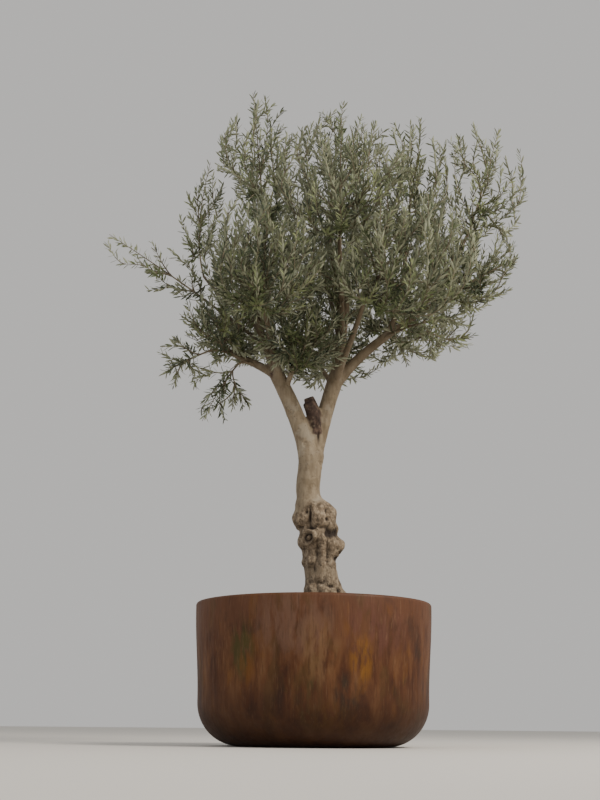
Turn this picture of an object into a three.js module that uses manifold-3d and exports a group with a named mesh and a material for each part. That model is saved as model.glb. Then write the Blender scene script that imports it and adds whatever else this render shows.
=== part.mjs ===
// A potted olive tree: a round planter, its soil, a trunk with a burr, boughs and masses of foliage.
// Millimetres, +Z up, +Y away from the viewer. The origin is the middle of the planter's flat underside.
import * as THREE from "three";
import { mergeVertices } from "three/addons/utils/BufferGeometryUtils.js";
import Module from "manifold-3d";

const wasm = await Module();
wasm.setup();

// Planter: a spun shell with a rolled rim and a wide round at its foot
const POT_RADIUS = 600;
const POT_HEIGHT = 700;
const POT_WALL = 30;
const POT_FOOT_ROUND = 210;
const POT_NARROWING = 20; // the wall's radius is this much less above the foot than at the rim
const POT_SIDES = 36;
const POT_CORNER_STEPS = 6;
const POT_WALL_STEPS = 3;
const POT_RIM_STEPS = 4;

// Soil: it fills the planter to a little under the rim
const SOIL_DROP = 60;
const GROUND = POT_HEIGHT - SOIL_DROP;

const GAP = 0.3; // clearance between two solids that touch

// Trunk: its middle at six heights, its girth and its swellings
const TRUNK_LINE = [
  [50, 0, GROUND + GAP],
  [38, 0, 870],
  [22, 0, 1080],
  [-32, 0, 1270],
  [-24, 0, 1420],
  [-14, 10, 1530],
];
const TRUNK_SIDES = 16;
const TRUNK_STEPS = 30;
const TRUNK_DOME = 45; // height of the rounded top between the two boughs
const TRUNK_CROWN = 0.14; // share of the radius that is left flat on top of the dome
const STEM_RADIUS = 63; // above the burr
const BURR_RADIUS = 80; // from the ground to the burr's top
const BURR_TOP = 1235;
const BURR_SHOULDER = 25; // height over which the burr draws in to the stem
const FLARE = 48; // radius added at the ground
const FLARE_HEIGHT = 80;
// Swellings of the trunk, at a bearing in degrees: 0 is +X and -90 the front. Each fades over a half height,
// tall, and a half width in degrees, wide.
const SWELLINGS = [
  { height: 1185, bearing: 0, rise: 44, tall: 48, wide: 50 },
  { height: 1140, bearing: 180, rise: 40, tall: 42, wide: 45 },
  { height: 1150, bearing: 80, rise: 40, tall: 50, wide: 50 },
  { height: 1092, bearing: 0, rise: 26, tall: 32, wide: 60 },
  { height: 1092, bearing: 170, rise: 12, tall: 30, wide: 60 },
  { height: 1130, bearing: -60, rise: 26, tall: 40, wide: 35 },
  { height: 1045, bearing: -100, rise: 34, tall: 40, wide: 30 },
  { height: 1005, bearing: 0, rise: 44, tall: 45, wide: 50 },
  { height: 1020, bearing: 190, rise: 30, tall: 45, wide: 45 },
  { height: 1000, bearing: 110, rise: 36, tall: 50, wide: 50 },
  { height: 920, bearing: 180, rise: 20, tall: 16, wide: 25 },
  { height: 700, bearing: -5, rise: 62, tall: 75, wide: 28 },
  { height: 650, bearing: 205, rise: 45, tall: 75, wide: 26 },
  { height: 650, bearing: -82, rise: 48, tall: 70, wide: 24 },
  { height: 650, bearing: 100, rise: 50, tall: 75, wide: 26 },
  { height: 650, bearing: 52, rise: 34, tall: 60, wide: 20 },
  { height: 1490, bearing: 62, rise: 22, tall: 60, wide: 55 },
];

// Boughs: each leaves another limb at a share of its length, and its end turns up, or down where turn is
// negative. aside is how far its root lies from that limb's middle.
const BOUGHS = [
  {
    name: "left", from: "trunk", at: 0.9, tip: [-215, -42, 1935], radii: [52, 40], turn: -0.25,
    aside: [-10, -16, 0],
  },
  {
    name: "right", from: "trunk", at: 0.9, tip: [118, 66, 1935], radii: [42, 44], turn: -0.25,
    aside: [20, 38, 0],
  },
  { name: "stub", from: "right", at: 0.4, tip: [-34, -14, 1795], radii: [32, 29], turn: 0.2 },
  { name: "low_left", from: "left", at: 0.9, tip: [-460, -50, 2040], radii: [27, 16], turn: 0.1 },
  { name: "mid_left", from: "left", at: 0.88, tip: [-360, -90, 2310], radii: [30, 15], turn: 0.1 },
  { name: "left_arm", from: "mid_left", at: 0.35, tip: [-540, -30, 2290], radii: [13, 8], turn: 0 },
  { name: "left_shoots", from: "mid_left", at: 0.6, tip: [-620, 30, 2500], radii: [11, 7], turn: 0.3 },
  { name: "top_left", from: "mid_left", at: 0.5, tip: [-290, 20, 2740], radii: [17, 9], turn: 0.3 },
  { name: "front_left", from: "left", at: 0.8, tip: [-270, -340, 2200], radii: [24, 12], turn: 0.2 },
  { name: "back_left", from: "left", at: 0.86, tip: [-290, 340, 2240], radii: [24, 12], turn: 0.2 },
  { name: "low_mid", from: "left", at: 0.72, tip: [-85, -150, 2010], radii: [17, 10], turn: 0.3 },
  { name: "hanging", from: "low_left", at: 0.6, tip: [-570, -140, 2010], radii: [10, 6], turn: -0.6 },
  { name: "drooping", from: "low_left", at: 0.45, tip: [-410, -120, 1945], radii: [9, 6], turn: -0.8 },
  { name: "mid", from: "right", at: 0.88, tip: [170, -50, 2320], radii: [36, 18], turn: 0.1 },
  { name: "top_mid", from: "mid", at: 0.55, tip: [80, 60, 2750], radii: [20, 10], turn: 0.3 },
  { name: "right_side", from: "right", at: 0.86, tip: [730, 60, 2410], radii: [33, 14], turn: -0.1 },
  { name: "far_right", from: "right_side", at: 0.72, tip: [850, 10, 2760], radii: [14, 8], turn: 0.4 },
  { name: "top_right", from: "right_side", at: 0.5, tip: [510, -20, 2720], radii: [17, 9], turn: 0.4 },
  { name: "low_right", from: "right_side", at: 0.45, tip: [520, -60, 2190], radii: [12, 8], turn: -0.2 },
  { name: "front_right", from: "right", at: 0.84, tip: [250, -330, 2230], radii: [24, 12], turn: 0.2 },
  { name: "back_right", from: "right", at: 0.88, tip: [400, 370, 2280], radii: [26, 13], turn: 0.2 },
  { name: "low_back", from: "right", at: 0.8, tip: [20, 300, 2100], radii: [16, 10], turn: 0.3 },
  { name: "top_back", from: "mid", at: 0.35, tip: [70, 400, 2620], radii: [18, 9], turn: 0.3 },
  { name: "top_front", from: "mid", at: 0.5, tip: [120, -390, 2560], radii: [17, 9], turn: 0.3 },
];
const BOUGH_SIDES = 7;
const BOUGH_STEP = 130; // length of bough between two of its rings
const CLEARANCE_STEPS = 8; // straight lengths that stand for a limb where foliage is kept clear of it
const LEAVING = 0.35; // share of a bough's length over which it keeps the way that it sets out

// Foliage: each mass keeps to its own ellipsoid, which may be tilted by some degrees. It grows from the tip
// of the bough that has its name, in the way that its seed gives.
const MASSES = [
  { name: "top_left", middle: [-320, -40, 3080], half: [265, 350, 510], seed: 49 },
  { name: "top_mid", middle: [110, 20, 3070], half: [290, 350, 500], seed: 16 },
  { name: "top_right", middle: [520, -20, 2990], half: [290, 370, 450], seed: 47 },
  { name: "far_right", middle: [925, 0, 3010], half: [275, 320, 445], seed: 14 },
  { name: "top_back", middle: [90, 540, 2890], half: [460, 330, 400], seed: 32 },
  { name: "top_front", middle: [120, -540, 2790], half: [460, 320, 370], seed: 17 },
  { name: "mid_left", middle: [-330, -20, 2520], half: [310, 350, 330], seed: 42 },
  { name: "mid", middle: [110, 0, 2520], half: [310, 300, 330], seed: 34 },
  { name: "right_side", middle: [800, 0, 2570], half: [335, 380, 300], seed: 54 },
  { name: "front_left", middle: [-250, -520, 2400], half: [360, 330, 370], seed: 33 },
  { name: "front_right", middle: [430, -520, 2420], half: [430, 330, 370], seed: 32 },
  { name: "back_left", middle: [-300, 540, 2500], half: [380, 340, 380], seed: 10 },
  { name: "back_right", middle: [500, 560, 2520], half: [440, 340, 390], seed: 43 },
  { name: "low_mid", middle: [-90, -170, 2090], half: [330, 310, 220], seed: 52 },
  { name: "low_left", middle: [-500, -70, 2150], half: [300, 320, 210], seed: 56 },
  { name: "low_right", middle: [610, 0, 2230], half: [330, 350, 200], seed: 2 },
  { name: "low_back", middle: [60, 430, 2190], half: [370, 300, 230], seed: 56 },
  { name: "left_arm", middle: [-850, -30, 2510], half: [400, 150, 150], seed: 44, tilt: 27 },
  { name: "left_shoots", middle: [-610, 30, 2890], half: [150, 190, 430], seed: 14, tilt: 16 },
  { name: "hanging", middle: [-690, -70, 1970], half: [180, 190, 170], seed: 50 },
  { name: "drooping", middle: [-500, -120, 1790], half: [200, 160, 185], seed: 22 },
];
const SEED_SPREAD = 2654435761; // sets the lists of neighbouring seeds apart
const CONGRUENCE_FACTOR = 1664525;
const CONGRUENCE_STEP = 1013904223;
const TWIG_COUNT = 6; // twigs of a mass, its stem among them
const TWIG_STEPS = 3;
const TWIG_SIDES = 3;
const TWIG_TIP_RADIUS = 5;
const STEM_SHARE = 0.85; // a mass's stem is a little thinner than the bough's tip under it
const TWIG_SHARE = 0.75; // a twig's root against its parent there
const TWIG_BEND = 0.4; // share of a twig's length over which it keeps the way that it sets out
const LEAST_WOOD = 0.4; // share of a twig that is wood where it is shorter than its last leaf
const TWIG_LIMIT = 0.97; // share of the space's half sizes that a twig stays within
const TWIG_REACH = 0.96; // share of the space's half sizes within which the twigs' tips are scattered
const FAR_STEP = 0.02; // steps of that share by which the far end's twig tip comes in from a wall
const TRIES = 8; // places tried for each twig's tip, of which the loneliest is taken
const LEAF_LENGTH = 270; // a leaf stands for a spray of them
const LEAF_SHARES = [1, 0.6]; // lengths tried where a leaf would leave its space
const LEAF_WIDTH = 110;
const LEAF_THICKNESS = 8;
const LEAF_WAIST = 0.45; // where along its length a leaf is widest
const LEAF_SUNK = 5; // how far its root starts behind the twig's middle
const LEAF_SPACING = 70; // along a twig
const LEAF_START = 0.3; // share of the wood that is bare at its root
const LEAF_NECK = 45; // length by its root in which a leaf may come near others
const LEAF_APART = 45; // between the midribs of two leaves past their necks
const LEAF_JITTER = 0.7; // share of the spacing by which a leaf may lie off its place
const LEAF_SPREAD = 1.1; // how far a leaf leans out from its twig

const MARGIN = 1.5; // what foliage keeps to the edge of its space and to limbs
const SAME_PLACE = 0.001; // corners of a skin that are nearer than this are one corner
const UP = new THREE.Vector3(0, 0, 1);

const POT_FINISH = { color: 0x5a3a26, roughness: 0.55, metalness: 0.3 };
const SOIL_FINISH = { color: 0x3b2c22, roughness: 1, metalness: 0 };
const BARK_FINISH = { color: 0x8f7d69, roughness: 0.9, metalness: 0 };
const FOLIAGE_FINISH = { color: 0x66735a, roughness: 0.6, metalness: 0 };

// Solids from geometry, and back

function solidFrom(geometry) {
  const bare = new THREE.BufferGeometry().setIndex(geometry.index);
  bare.setAttribute("position", geometry.getAttribute("position"));
  const merged = mergeVertices(bare, SAME_PLACE);
  return new wasm.Manifold(
    new wasm.Mesh({
      numProp: 3,
      vertProperties: new Float32Array(merged.getAttribute("position").array),
      triVerts: new Uint32Array(merged.index.array),
    }),
  );
}

function geometryFrom(solid) {
  const { numProp, numVert, vertProperties, triVerts } = solid.getMesh();
  const places = new Float32Array(numVert * 3);
  for (let i = 0; i < numVert; i++)
    places.set(vertProperties.subarray(i * numProp, i * numProp + 3), i * 3);
  const geometry = new THREE.BufferGeometry();
  geometry.setAttribute("position", new THREE.BufferAttribute(places, 3));
  geometry.setIndex(new THREE.BufferAttribute(new Uint32Array(triVerts), 1));
  geometry.computeVertexNormals();
  return geometry;
}

// The largest closed surface of a solid: loose scraps go, and sealed hollows are filled.
function mainBody(solid) {
  return solid.decompose().reduce((best, body) => (body.volume() > best.volume() ? body : best));
}

// A closed skin over rings that have the same number of points, each ring turning left round the way ahead.
// It ends at the middle of its last ring, or at a point past it.
function loft(rings, point = null) {
  const sides = rings[0].length;
  const middle = (ring) => ring.reduce((sum, p) => sum.add(p), new THREE.Vector3()).divideScalar(sides);
  const points = [middle(rings[0]), ...rings.flat(), point ?? middle(rings.at(-1))];
  const last = points.length - 1;
  const faces = [];
  for (let side = 0; side < sides; side++) {
    const next = (side + 1) % sides;
    faces.push(0, 1 + next, 1 + side);
    for (let ring = 0; ring + 1 < rings.length; ring++) {
      const a = 1 + ring * sides + side;
      const b = 1 + ring * sides + next;
      faces.push(a, b, b + sides, a, b + sides, a + sides);
    }
    faces.push(last - sides + side, last - sides + next, last);
  }
  return new THREE.BufferGeometry().setFromPoints(points).setIndex(faces);
}

// A tapering tube along a line of corners, with a flat or a pointed end. Its first ring faces firstWay. One
// that is grown is thicker by that much and goes on past its last corner.
function tube(corners, radiusAt, sides, { firstWay = null, grown = 0, pointed = false } = {}) {
  const last = corners.length - 1;
  const wayAt = (i) => corners[Math.min(i + 1, last)].clone().sub(corners[Math.max(i - 1, 0)]).normalize();
  let way = firstWay ?? wayAt(0);
  const across = new THREE.Vector3(way.z, 0, -way.x).normalize();
  const rings = corners.map((corner, i) => {
    if (i > 0) {
      across.applyQuaternion(new THREE.Quaternion().setFromUnitVectors(way, wayAt(i)));
      way = wayAt(i);
    }
    const middle = corner.clone().addScaledVector(way, i === last ? grown : 0);
    const radius = radiusAt(i / last) + grown;
    return Array.from({ length: sides }, (_, side) => {
      const turned = across.clone().applyAxisAngle(way, (2 * Math.PI * side) / sides);
      return middle.clone().addScaledVector(turned, radius);
    });
  });
  return pointed ? loft(rings.slice(0, -1), corners[last]) : loft(rings);
}

// Planter and soil

// The shell's section at a depth under its outer face, from the axis along the foot and up the wall.
function potSection(depth, top, cornerSteps) {
  const footRadius = POT_RADIUS - POT_NARROWING - POT_FOOT_ROUND;
  const points = [new THREE.Vector2(0, depth)];
  for (let step = 0; step <= cornerSteps; step++) {
    const angle = (Math.PI / 2) * (step / cornerSteps - 1);
    const reach = POT_FOOT_ROUND - depth;
    const height = POT_FOOT_ROUND + reach * Math.sin(angle);
    points.push(new THREE.Vector2(footRadius + reach * Math.cos(angle), height));
  }
  for (let step = 1; step <= POT_WALL_STEPS; step++) {
    const share = step / POT_WALL_STEPS;
    const drawnIn = (POT_NARROWING * (1 + Math.cos(Math.PI * share))) / 2;
    const height = THREE.MathUtils.lerp(POT_FOOT_ROUND, top, share);
    points.push(new THREE.Vector2(POT_RADIUS - drawnIn - depth, height));
  }
  return points;
}

function spun(section) {
  return new THREE.LatheGeometry(section, POT_SIDES).rotateX(Math.PI / 2);
}

function potGeometry() {
  const rimRound = POT_WALL / 2;
  const wallTop = POT_HEIGHT - rimRound;
  const rimMiddle = POT_RADIUS - rimRound;
  const rim = [];
  for (let step = 1; step < POT_RIM_STEPS; step++) {
    const angle = (Math.PI * step) / POT_RIM_STEPS;
    const height = wallTop + rimRound * Math.sin(angle);
    rim.push(new THREE.Vector2(rimMiddle + rimRound * Math.cos(angle), height));
  }
  const outer = potSection(0, wallTop, POT_CORNER_STEPS);
  const inner = potSection(POT_WALL, wallTop, POT_CORNER_STEPS);
  return spun([...outer, ...rim, ...inner.reverse()]);
}

// The soil's wall follows the shell's inner face, a gap inside it.
function soilGeometry() {
  const section = potSection(POT_WALL + GAP, POT_HEIGHT - POT_WALL / 2, POT_CORNER_STEPS / 2);
  const under = section.filter((point) => point.y < GROUND);
  return spun([...under, new THREE.Vector2(under.at(-1).x, GROUND), new THREE.Vector2(0, GROUND)]);
}

// Trunk

const trunkLine = new THREE.CatmullRomCurve3(TRUNK_LINE.map((place) => new THREE.Vector3(...place)));

function trunkRadius(height, bearing) {
  const shoulder = THREE.MathUtils.smoothstep(height, BURR_TOP - BURR_SHOULDER, BURR_TOP + BURR_SHOULDER);
  let radius = THREE.MathUtils.lerp(BURR_RADIUS, STEM_RADIUS, shoulder);
  radius += FLARE * Math.exp((GROUND - height) / FLARE_HEIGHT);
  for (const swelling of SWELLINGS) {
    const up = (height - swelling.height) / swelling.tall;
    const turn = THREE.MathUtils.euclideanModulo(bearing - swelling.bearing + 180, 360) - 180;
    radius += swelling.rise * Math.exp(-(up ** 2) - (turn / swelling.wide) ** 2);
  }
  return radius;
}

// Level rings up the trunk's line to a rounded top, grown by a clearance where a cutter is wanted.
function trunkGeometry(grown = 0) {
  const top = trunkLine.getPoint(1).z;
  const rings = trunkLine.getSpacedPoints(TRUNK_STEPS).map(({ x, y, z }, step) => {
    const intoDome = Math.max(0, 1 + (z - top) / TRUNK_DOME);
    const round = Math.max(TRUNK_CROWN, Math.sqrt(Math.max(0, 1 - intoDome ** 2)));
    const height = step === TRUNK_STEPS ? z + grown : z;
    return Array.from({ length: TRUNK_SIDES }, (_, side) => {
      const bearing = (360 * side) / TRUNK_SIDES;
      const angle = THREE.MathUtils.degToRad(bearing);
      const radius = trunkRadius(z, bearing) * round + grown;
      return new THREE.Vector3(x + radius * Math.cos(angle), y + radius * Math.sin(angle), height);
    });
  });
  return loft(rings);
}

// Boughs

function boughCurve(parent, { at, tip, turn, aside = [0, 0, 0] }) {
  const root = parent.getPointAt(at).add(new THREE.Vector3(...aside));
  const end = new THREE.Vector3(...tip);
  const way = end.clone().sub(root);
  const length = way.length();
  way.normalize();
  const leaving = parent.getTangentAt(at).add(way).normalize();
  const arriving = way.clone().addScaledVector(UP, turn).normalize();
  return new THREE.CubicBezierCurve3(
    root,
    root.clone().addScaledVector(leaving, LEAVING * length),
    end.clone().addScaledVector(arriving, -LEAVING * length),
    end,
  );
}

const limbs = new Map([["trunk", { curve: trunkLine, radiusAt: () => STEM_RADIUS }]]);
for (const bough of BOUGHS) {
  const curve = boughCurve(limbs.get(bough.from).curve, bough);
  const corners = curve.getSpacedPoints(Math.max(3, Math.round(curve.getLength() / BOUGH_STEP)));
  const tipWay = corners.at(-1).clone().sub(corners.at(-2)).normalize();
  const radiusAt = (share) => THREE.MathUtils.lerp(...bough.radii, share);
  limbs.set(bough.name, { curve, corners, tipWay, radiusAt });
}

// A bough ends level with its tip, and the cutter for its neighbours is a gap larger all round.
function boughSolid({ corners, radiusAt }, grown = 0) {
  return solidFrom(tube(corners, radiusAt, BOUGH_SIDES, { grown }));
}

const trunkCutter = solidFrom(trunkGeometry(GAP));
const boughSolids = new Map();
const cutters = [trunkCutter];
for (const { name } of BOUGHS) {
  const limb = limbs.get(name);
  const cut = cutters.reduce((solid, cutter) => solid.subtract(cutter), boughSolid(limb));
  boughSolids.set(name, mainBody(cut));
  cutters.push(boughSolid(limb, GAP));
}

// Each limb as straight lengths with a thickness, to keep the foliage clear of it
const limbLengths = [];
for (const limb of limbs.values())
  for (let step = 0; step < CLEARANCE_STEPS; step++) {
    const [share, next] = [step, step + 1].map((count) => count / CLEARANCE_STEPS);
    const line = new THREE.Line3(limb.curve.getPointAt(share), limb.curve.getPointAt(next));
    limbLengths.push({ limb, line, radius: limb.radiusAt(share) });
  }

// Foliage

// Numbers from 0 to 1 that are the same list for the same seed, by a linear congruence.
function randomFrom(seed) {
  let state = Math.imul(seed, SEED_SPREAD) >>> 0;
  return () => {
    state = (Math.imul(state, CONGRUENCE_FACTOR) + CONGRUENCE_STEP) >>> 0;
    return state / 2 ** 32;
  };
}

// A mass's space: an ellipsoid, flattened where it meets each neighbour's space.
function spaceOf({ middle, half, tilt = 0 }) {
  const angle = THREE.MathUtils.degToRad(tilt);
  return {
    middle: new THREE.Vector3(...middle),
    half,
    axes: [
      new THREE.Vector3(-Math.cos(angle), 0, Math.sin(angle)),
      new THREE.Vector3(0, 1, 0),
      new THREE.Vector3(Math.sin(angle), 0, Math.cos(angle)),
    ],
    walls: [],
  };
}

function reachTowards(space, way) {
  return Math.hypot(...space.axes.map((axis, i) => space.half[i] * axis.dot(way)));
}

// The wall between two spaces crosses the line of their middles where their reaches meet in proportion.
function partSpaces(one, other) {
  const way = other.middle.clone().sub(one.middle);
  const apart = way.length();
  way.normalize();
  const share = reachTowards(one, way) / (reachTowards(one, way) + reachTowards(other, way));
  one.walls.push({ way, limit: apart * share - MARGIN / 2 });
  other.walls.push({ way: way.clone().negate(), limit: apart * (1 - share) - MARGIN / 2 });
}

function isInside(space, point, share = 1) {
  const offset = point.clone().sub(space.middle);
  const round = Math.hypot(...space.axes.map((axis, i) => axis.dot(offset) / (share * space.half[i])));
  return round <= 1 && space.walls.every(({ way, limit }) => way.dot(offset) <= limit);
}

function isClear(from, to, thickness, own = null) {
  const way = new THREE.Line3(from, to);
  return limbLengths.every(({ limb, line, radius }) => {
    return limb === own || Math.sqrt(line.distanceSqToLine3(way)) > radius + thickness + MARGIN;
  });
}

// The edge of a space straight across its middle from a point.
function farEnd(space, point) {
  const way = space.middle.clone().sub(point).normalize();
  const reach = 1 / Math.hypot(...space.axes.map((axis, i) => axis.dot(way) / space.half[i]));
  let share = TWIG_REACH;
  const place = () => space.middle.clone().addScaledVector(way, share * reach);
  while (!isInside(space, place())) share -= FAR_STEP;
  return place();
}

// Places spread evenly through a space, the first at its far end. Each other place is the one of a few tries
// that lies furthest from the rest.
function scatter(space, count, random, foot) {
  const chosen = [foot, farEnd(space, foot)];
  while (chosen.length < count + 1) {
    let best = null;
    let bestApart = -1;
    let tries = 0;
    while (tries < TRIES) {
      const point = space.middle.clone();
      space.axes.forEach((axis, i) => point.addScaledVector(axis, (2 * random() - 1) * space.half[i]));
      if (!isInside(space, point, TWIG_REACH)) continue;
      tries += 1;
      const apart = Math.min(...chosen.map((other) => other.distanceTo(point)));
      if (apart > bestApart) [best, bestApart] = [point, apart];
    }
    chosen.push(best);
  }
  return chosen.slice(1);
}

// A twig sets out half way between its parent's way and its tip's, and bends to its tip. Its wood ends a
// leaf's length short of the tip, where its last leaf goes on.
function twigTo(root, way, tip, rootRadius) {
  const toTip = tip.clone().sub(root);
  const setOut = toTip.clone().normalize().add(way).normalize();
  const bend = root.clone().addScaledVector(setOut, TWIG_BEND * toTip.length());
  const curve = new THREE.QuadraticBezierCurve3(root, bend, tip);
  const wood = Math.max(LEAST_WOOD, 1 - LEAF_LENGTH / curve.getLength());
  const corners = [];
  for (let step = 0; step <= TWIG_STEPS; step++) corners.push(curve.getPointAt((wood * step) / TWIG_STEPS));
  return { curve, wood, corners, tip, rootRadius };
}

function twigRadius({ rootRadius }, share) {
  return THREE.MathUtils.lerp(rootRadius, TWIG_TIP_RADIUS, share);
}

// The mass's stem grows from the bough's tip, and each later twig from the nearest twig that points its way.
function growTwigs(space, bough, random) {
  const way = bough.tipWay;
  const foot = bough.corners.at(-1).clone().addScaledVector(way, GAP);
  const tips = scatter(space, TWIG_COUNT, random, foot);
  tips.sort((a, b) => a.distanceTo(foot) - b.distanceTo(foot));
  const stems = tips.map((tip) => ({
    ...twigTo(foot, way, tip, STEM_SHARE * bough.radiusAt(1)),
    firstWay: way,
  }));
  const lead = stems.findLastIndex((stem) => keepsToSpace(space, stem, bough));
  if (lead < 0) throw new Error("No stem fits into the space round " + space.middle.toArray());
  const twigs = [stems[lead]];
  for (const tip of tips.toSpliced(lead, 1)) {
    const { root, along, radius } = twigs.flatMap((twig) => forksOf(twig, tip)).reduce(cheaper);
    const twig = twigTo(root, along, tip, Math.max(TWIG_SHARE * radius, TWIG_TIP_RADIUS));
    if (keepsToSpace(space, twig)) twigs.push(twig);
  }
  return twigs;
}

// The corners of a twig at which one to this tip could leave it. A longer way costs more, as does a turn.
function forksOf(parent, tip) {
  return parent.corners.slice(1, -1).map((root, i) => {
    const share = (i + 1) / TWIG_STEPS;
    const along = parent.curve.getTangentAt(parent.wood * share);
    const toTip = tip.clone().sub(root);
    const turning = 1 - along.dot(toTip.clone().normalize());
    return { root, along, radius: twigRadius(parent, share), cost: toTip.length() * (1 + turning) };
  });
}

function cheaper(one, other) {
  return other.cost < one.cost ? other : one;
}

function keepsToSpace(space, { corners, rootRadius }, own) {
  return corners.slice(1).every((corner, i) => {
    return isInside(space, corner, TWIG_LIMIT) && isClear(corners[i], corner, rootRadius, own);
  });
}

// A lozenge of eight faces, thick in the middle, that stands for a spray of leaves.
function leafGeometry(root, tip, flat) {
  const along = tip.clone().sub(root).normalize();
  const side = flat.clone().cross(along).normalize();
  const face = along.clone().cross(side);
  const waist = root.clone().lerp(tip, LEAF_WAIST);
  const around = [
    waist.clone().addScaledVector(side, LEAF_WIDTH / 2),
    waist.clone().addScaledVector(face, LEAF_THICKNESS / 2),
    waist.clone().addScaledVector(side, -LEAF_WIDTH / 2),
    waist.clone().addScaledVector(face, -LEAF_THICKNESS / 2),
  ];
  const faces = [];
  for (let corner = 0; corner < 4; corner++) {
    const next = (corner + 1) % 4;
    faces.push(0, 1 + next, 1 + corner, 5, 1 + corner, 1 + next);
  }
  return new THREE.BufferGeometry().setFromPoints([root, ...around, tip]).setIndex(faces);
}

function leafFits(space, root, tip, flat) {
  const corners = leafGeometry(root, tip, flat).getAttribute("position");
  const corner = new THREE.Vector3();
  for (let i = 0; i < corners.count; i++)
    if (!isInside(space, corner.fromBufferAttribute(corners, i))) return false;
  return isClear(root, tip, LEAF_WIDTH / 2);
}

// The leaves of a mass: a leaf that would crowd another, leave the space or touch a limb is left out.
function growLeaves(space, twigs, random) {
  const leaves = [];
  const fit = (root, way, length, flat) => {
    const sunk = root.clone().addScaledVector(way, -LEAF_SUNK);
    const end = root.clone().addScaledVector(way, length);
    const blade = new THREE.Line3(root.clone().addScaledVector(way, LEAF_NECK), end);
    if (leaves.some((other) => Math.sqrt(other.blade.distanceSqToLine3(blade)) < LEAF_APART)) return false;
    if (!leafFits(space, sunk, end, flat)) return false;
    return leaves.push({ blade, geometry: leafGeometry(sunk, end, flat) });
  };
  const anyWay = () => new THREE.Vector3(random() - 0.5, random() - 0.5, random() - 0.5);

  // One leaf goes on from the end of each twig to its tip.
  for (const { corners, tip } of twigs) {
    const way = tip.clone().sub(corners.at(-1));
    const length = way.length();
    way.normalize();
    fit(corners.at(-1), way, length, anyWay().cross(way).normalize());
  }
  // The others stand out round the twigs.
  for (const { corners } of twigs) {
    const count = Math.round(corners[0].distanceTo(corners.at(-1)) / LEAF_SPACING);
    for (let leaf = 0; leaf < count; leaf++) {
      const at = TWIG_STEPS * THREE.MathUtils.lerp(LEAF_START, 1, (leaf + LEAF_JITTER * random()) / count);
      const step = Math.floor(at);
      const root = corners[step].clone().lerp(corners[step + 1], at - step);
      const along = corners[step + 1].clone().sub(corners[step]).normalize();
      const aside = anyWay().cross(along).normalize();
      const way = along.clone().addScaledVector(aside, LEAF_SPREAD).normalize();
      const flat = way.clone().cross(aside).normalize();
      LEAF_SHARES.some((share) => fit(root, way, share * LEAF_LENGTH, flat));
    }
  }
  return leaves.map(({ geometry }) => geometry);
}

function foliageSolid(space, bough, seed) {
  const random = randomFrom(seed);
  const twigs = growTwigs(space, bough, random);
  const pieces = twigs.map((twig) => {
    const ends = { firstWay: twig.firstWay, pointed: true };
    return solidFrom(tube(twig.corners, (share) => twigRadius(twig, share), TWIG_SIDES, ends));
  });
  pieces.push(...growLeaves(space, twigs, random).map(solidFrom));
  return mainBody(pieces.reduce((whole, piece) => whole.add(piece)));
}

const spaces = MASSES.map(spaceOf);
spaces.forEach((space, i) => spaces.slice(i + 1).forEach((other) => partSpaces(space, other)));

// The model

function mesh(name, geometry, finish) {
  const made = new THREE.Mesh(geometry, new THREE.MeshStandardMaterial({ ...finish, name }));
  made.name = name;
  return made;
}

const model = new THREE.Group();
model.add(mesh("pot", potGeometry(), POT_FINISH));
model.add(mesh("soil", soilGeometry(), SOIL_FINISH));
model.add(mesh("trunk", trunkGeometry(), BARK_FINISH));
for (const [name, solid] of boughSolids) model.add(mesh(`bough_${name}`, geometryFrom(solid), BARK_FINISH));
MASSES.forEach(({ name, seed }, i) => {
  const solid = foliageSolid(spaces[i], limbs.get(name), seed);
  model.add(mesh(`foliage_${name}`, geometryFrom(solid), FOLIAGE_FINISH));
});

export default model;
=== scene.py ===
# %% [markdown]
# # A potted olive tree
# An old olive trunk with a gnarled burr forks into two boughs that carry an open crown of narrow leaves. It
# stands in a round planter with a rusty finish. The planter and its soil are spun, the limbs are grown from
# curves, and the twigs and leaves come from one growth rule that fills each mass of the crown.

import math

import bpy
import numpy as np
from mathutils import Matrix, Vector, noise


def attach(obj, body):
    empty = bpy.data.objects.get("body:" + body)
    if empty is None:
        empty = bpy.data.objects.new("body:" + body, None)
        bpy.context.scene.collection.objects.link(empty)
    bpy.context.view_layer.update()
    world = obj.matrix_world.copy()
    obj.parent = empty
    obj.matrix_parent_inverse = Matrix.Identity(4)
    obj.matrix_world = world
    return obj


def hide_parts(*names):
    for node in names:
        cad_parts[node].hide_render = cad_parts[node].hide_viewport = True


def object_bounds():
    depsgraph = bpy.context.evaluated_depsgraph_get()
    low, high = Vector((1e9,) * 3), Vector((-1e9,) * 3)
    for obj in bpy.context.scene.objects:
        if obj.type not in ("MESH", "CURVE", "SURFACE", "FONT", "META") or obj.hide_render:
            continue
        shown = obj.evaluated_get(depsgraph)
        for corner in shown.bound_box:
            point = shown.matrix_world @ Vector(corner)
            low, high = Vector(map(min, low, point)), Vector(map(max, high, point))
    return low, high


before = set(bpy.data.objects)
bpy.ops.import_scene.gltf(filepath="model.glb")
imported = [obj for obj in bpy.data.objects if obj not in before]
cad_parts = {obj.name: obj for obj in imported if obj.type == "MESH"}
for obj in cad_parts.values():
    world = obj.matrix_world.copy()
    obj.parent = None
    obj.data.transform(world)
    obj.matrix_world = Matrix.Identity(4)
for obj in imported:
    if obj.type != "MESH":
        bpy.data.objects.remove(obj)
cad_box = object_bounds()
print("nodes in the frame:", len(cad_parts))

# %% [markdown]
# All sizes of the plant are given in millimetres, as a gardener would measure them, and one factor turns
# them to metres. An operator acts on all that is selected, so each new piece starts with nothing selected.

# %% Helpers to start and finish a piece
METRES = 0.001
WOOD_SEED = 12


def start_piece():
    """Deselects everything, so that an operator touches only the new piece."""
    bpy.ops.object.select_all(action="DESELECT")


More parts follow.
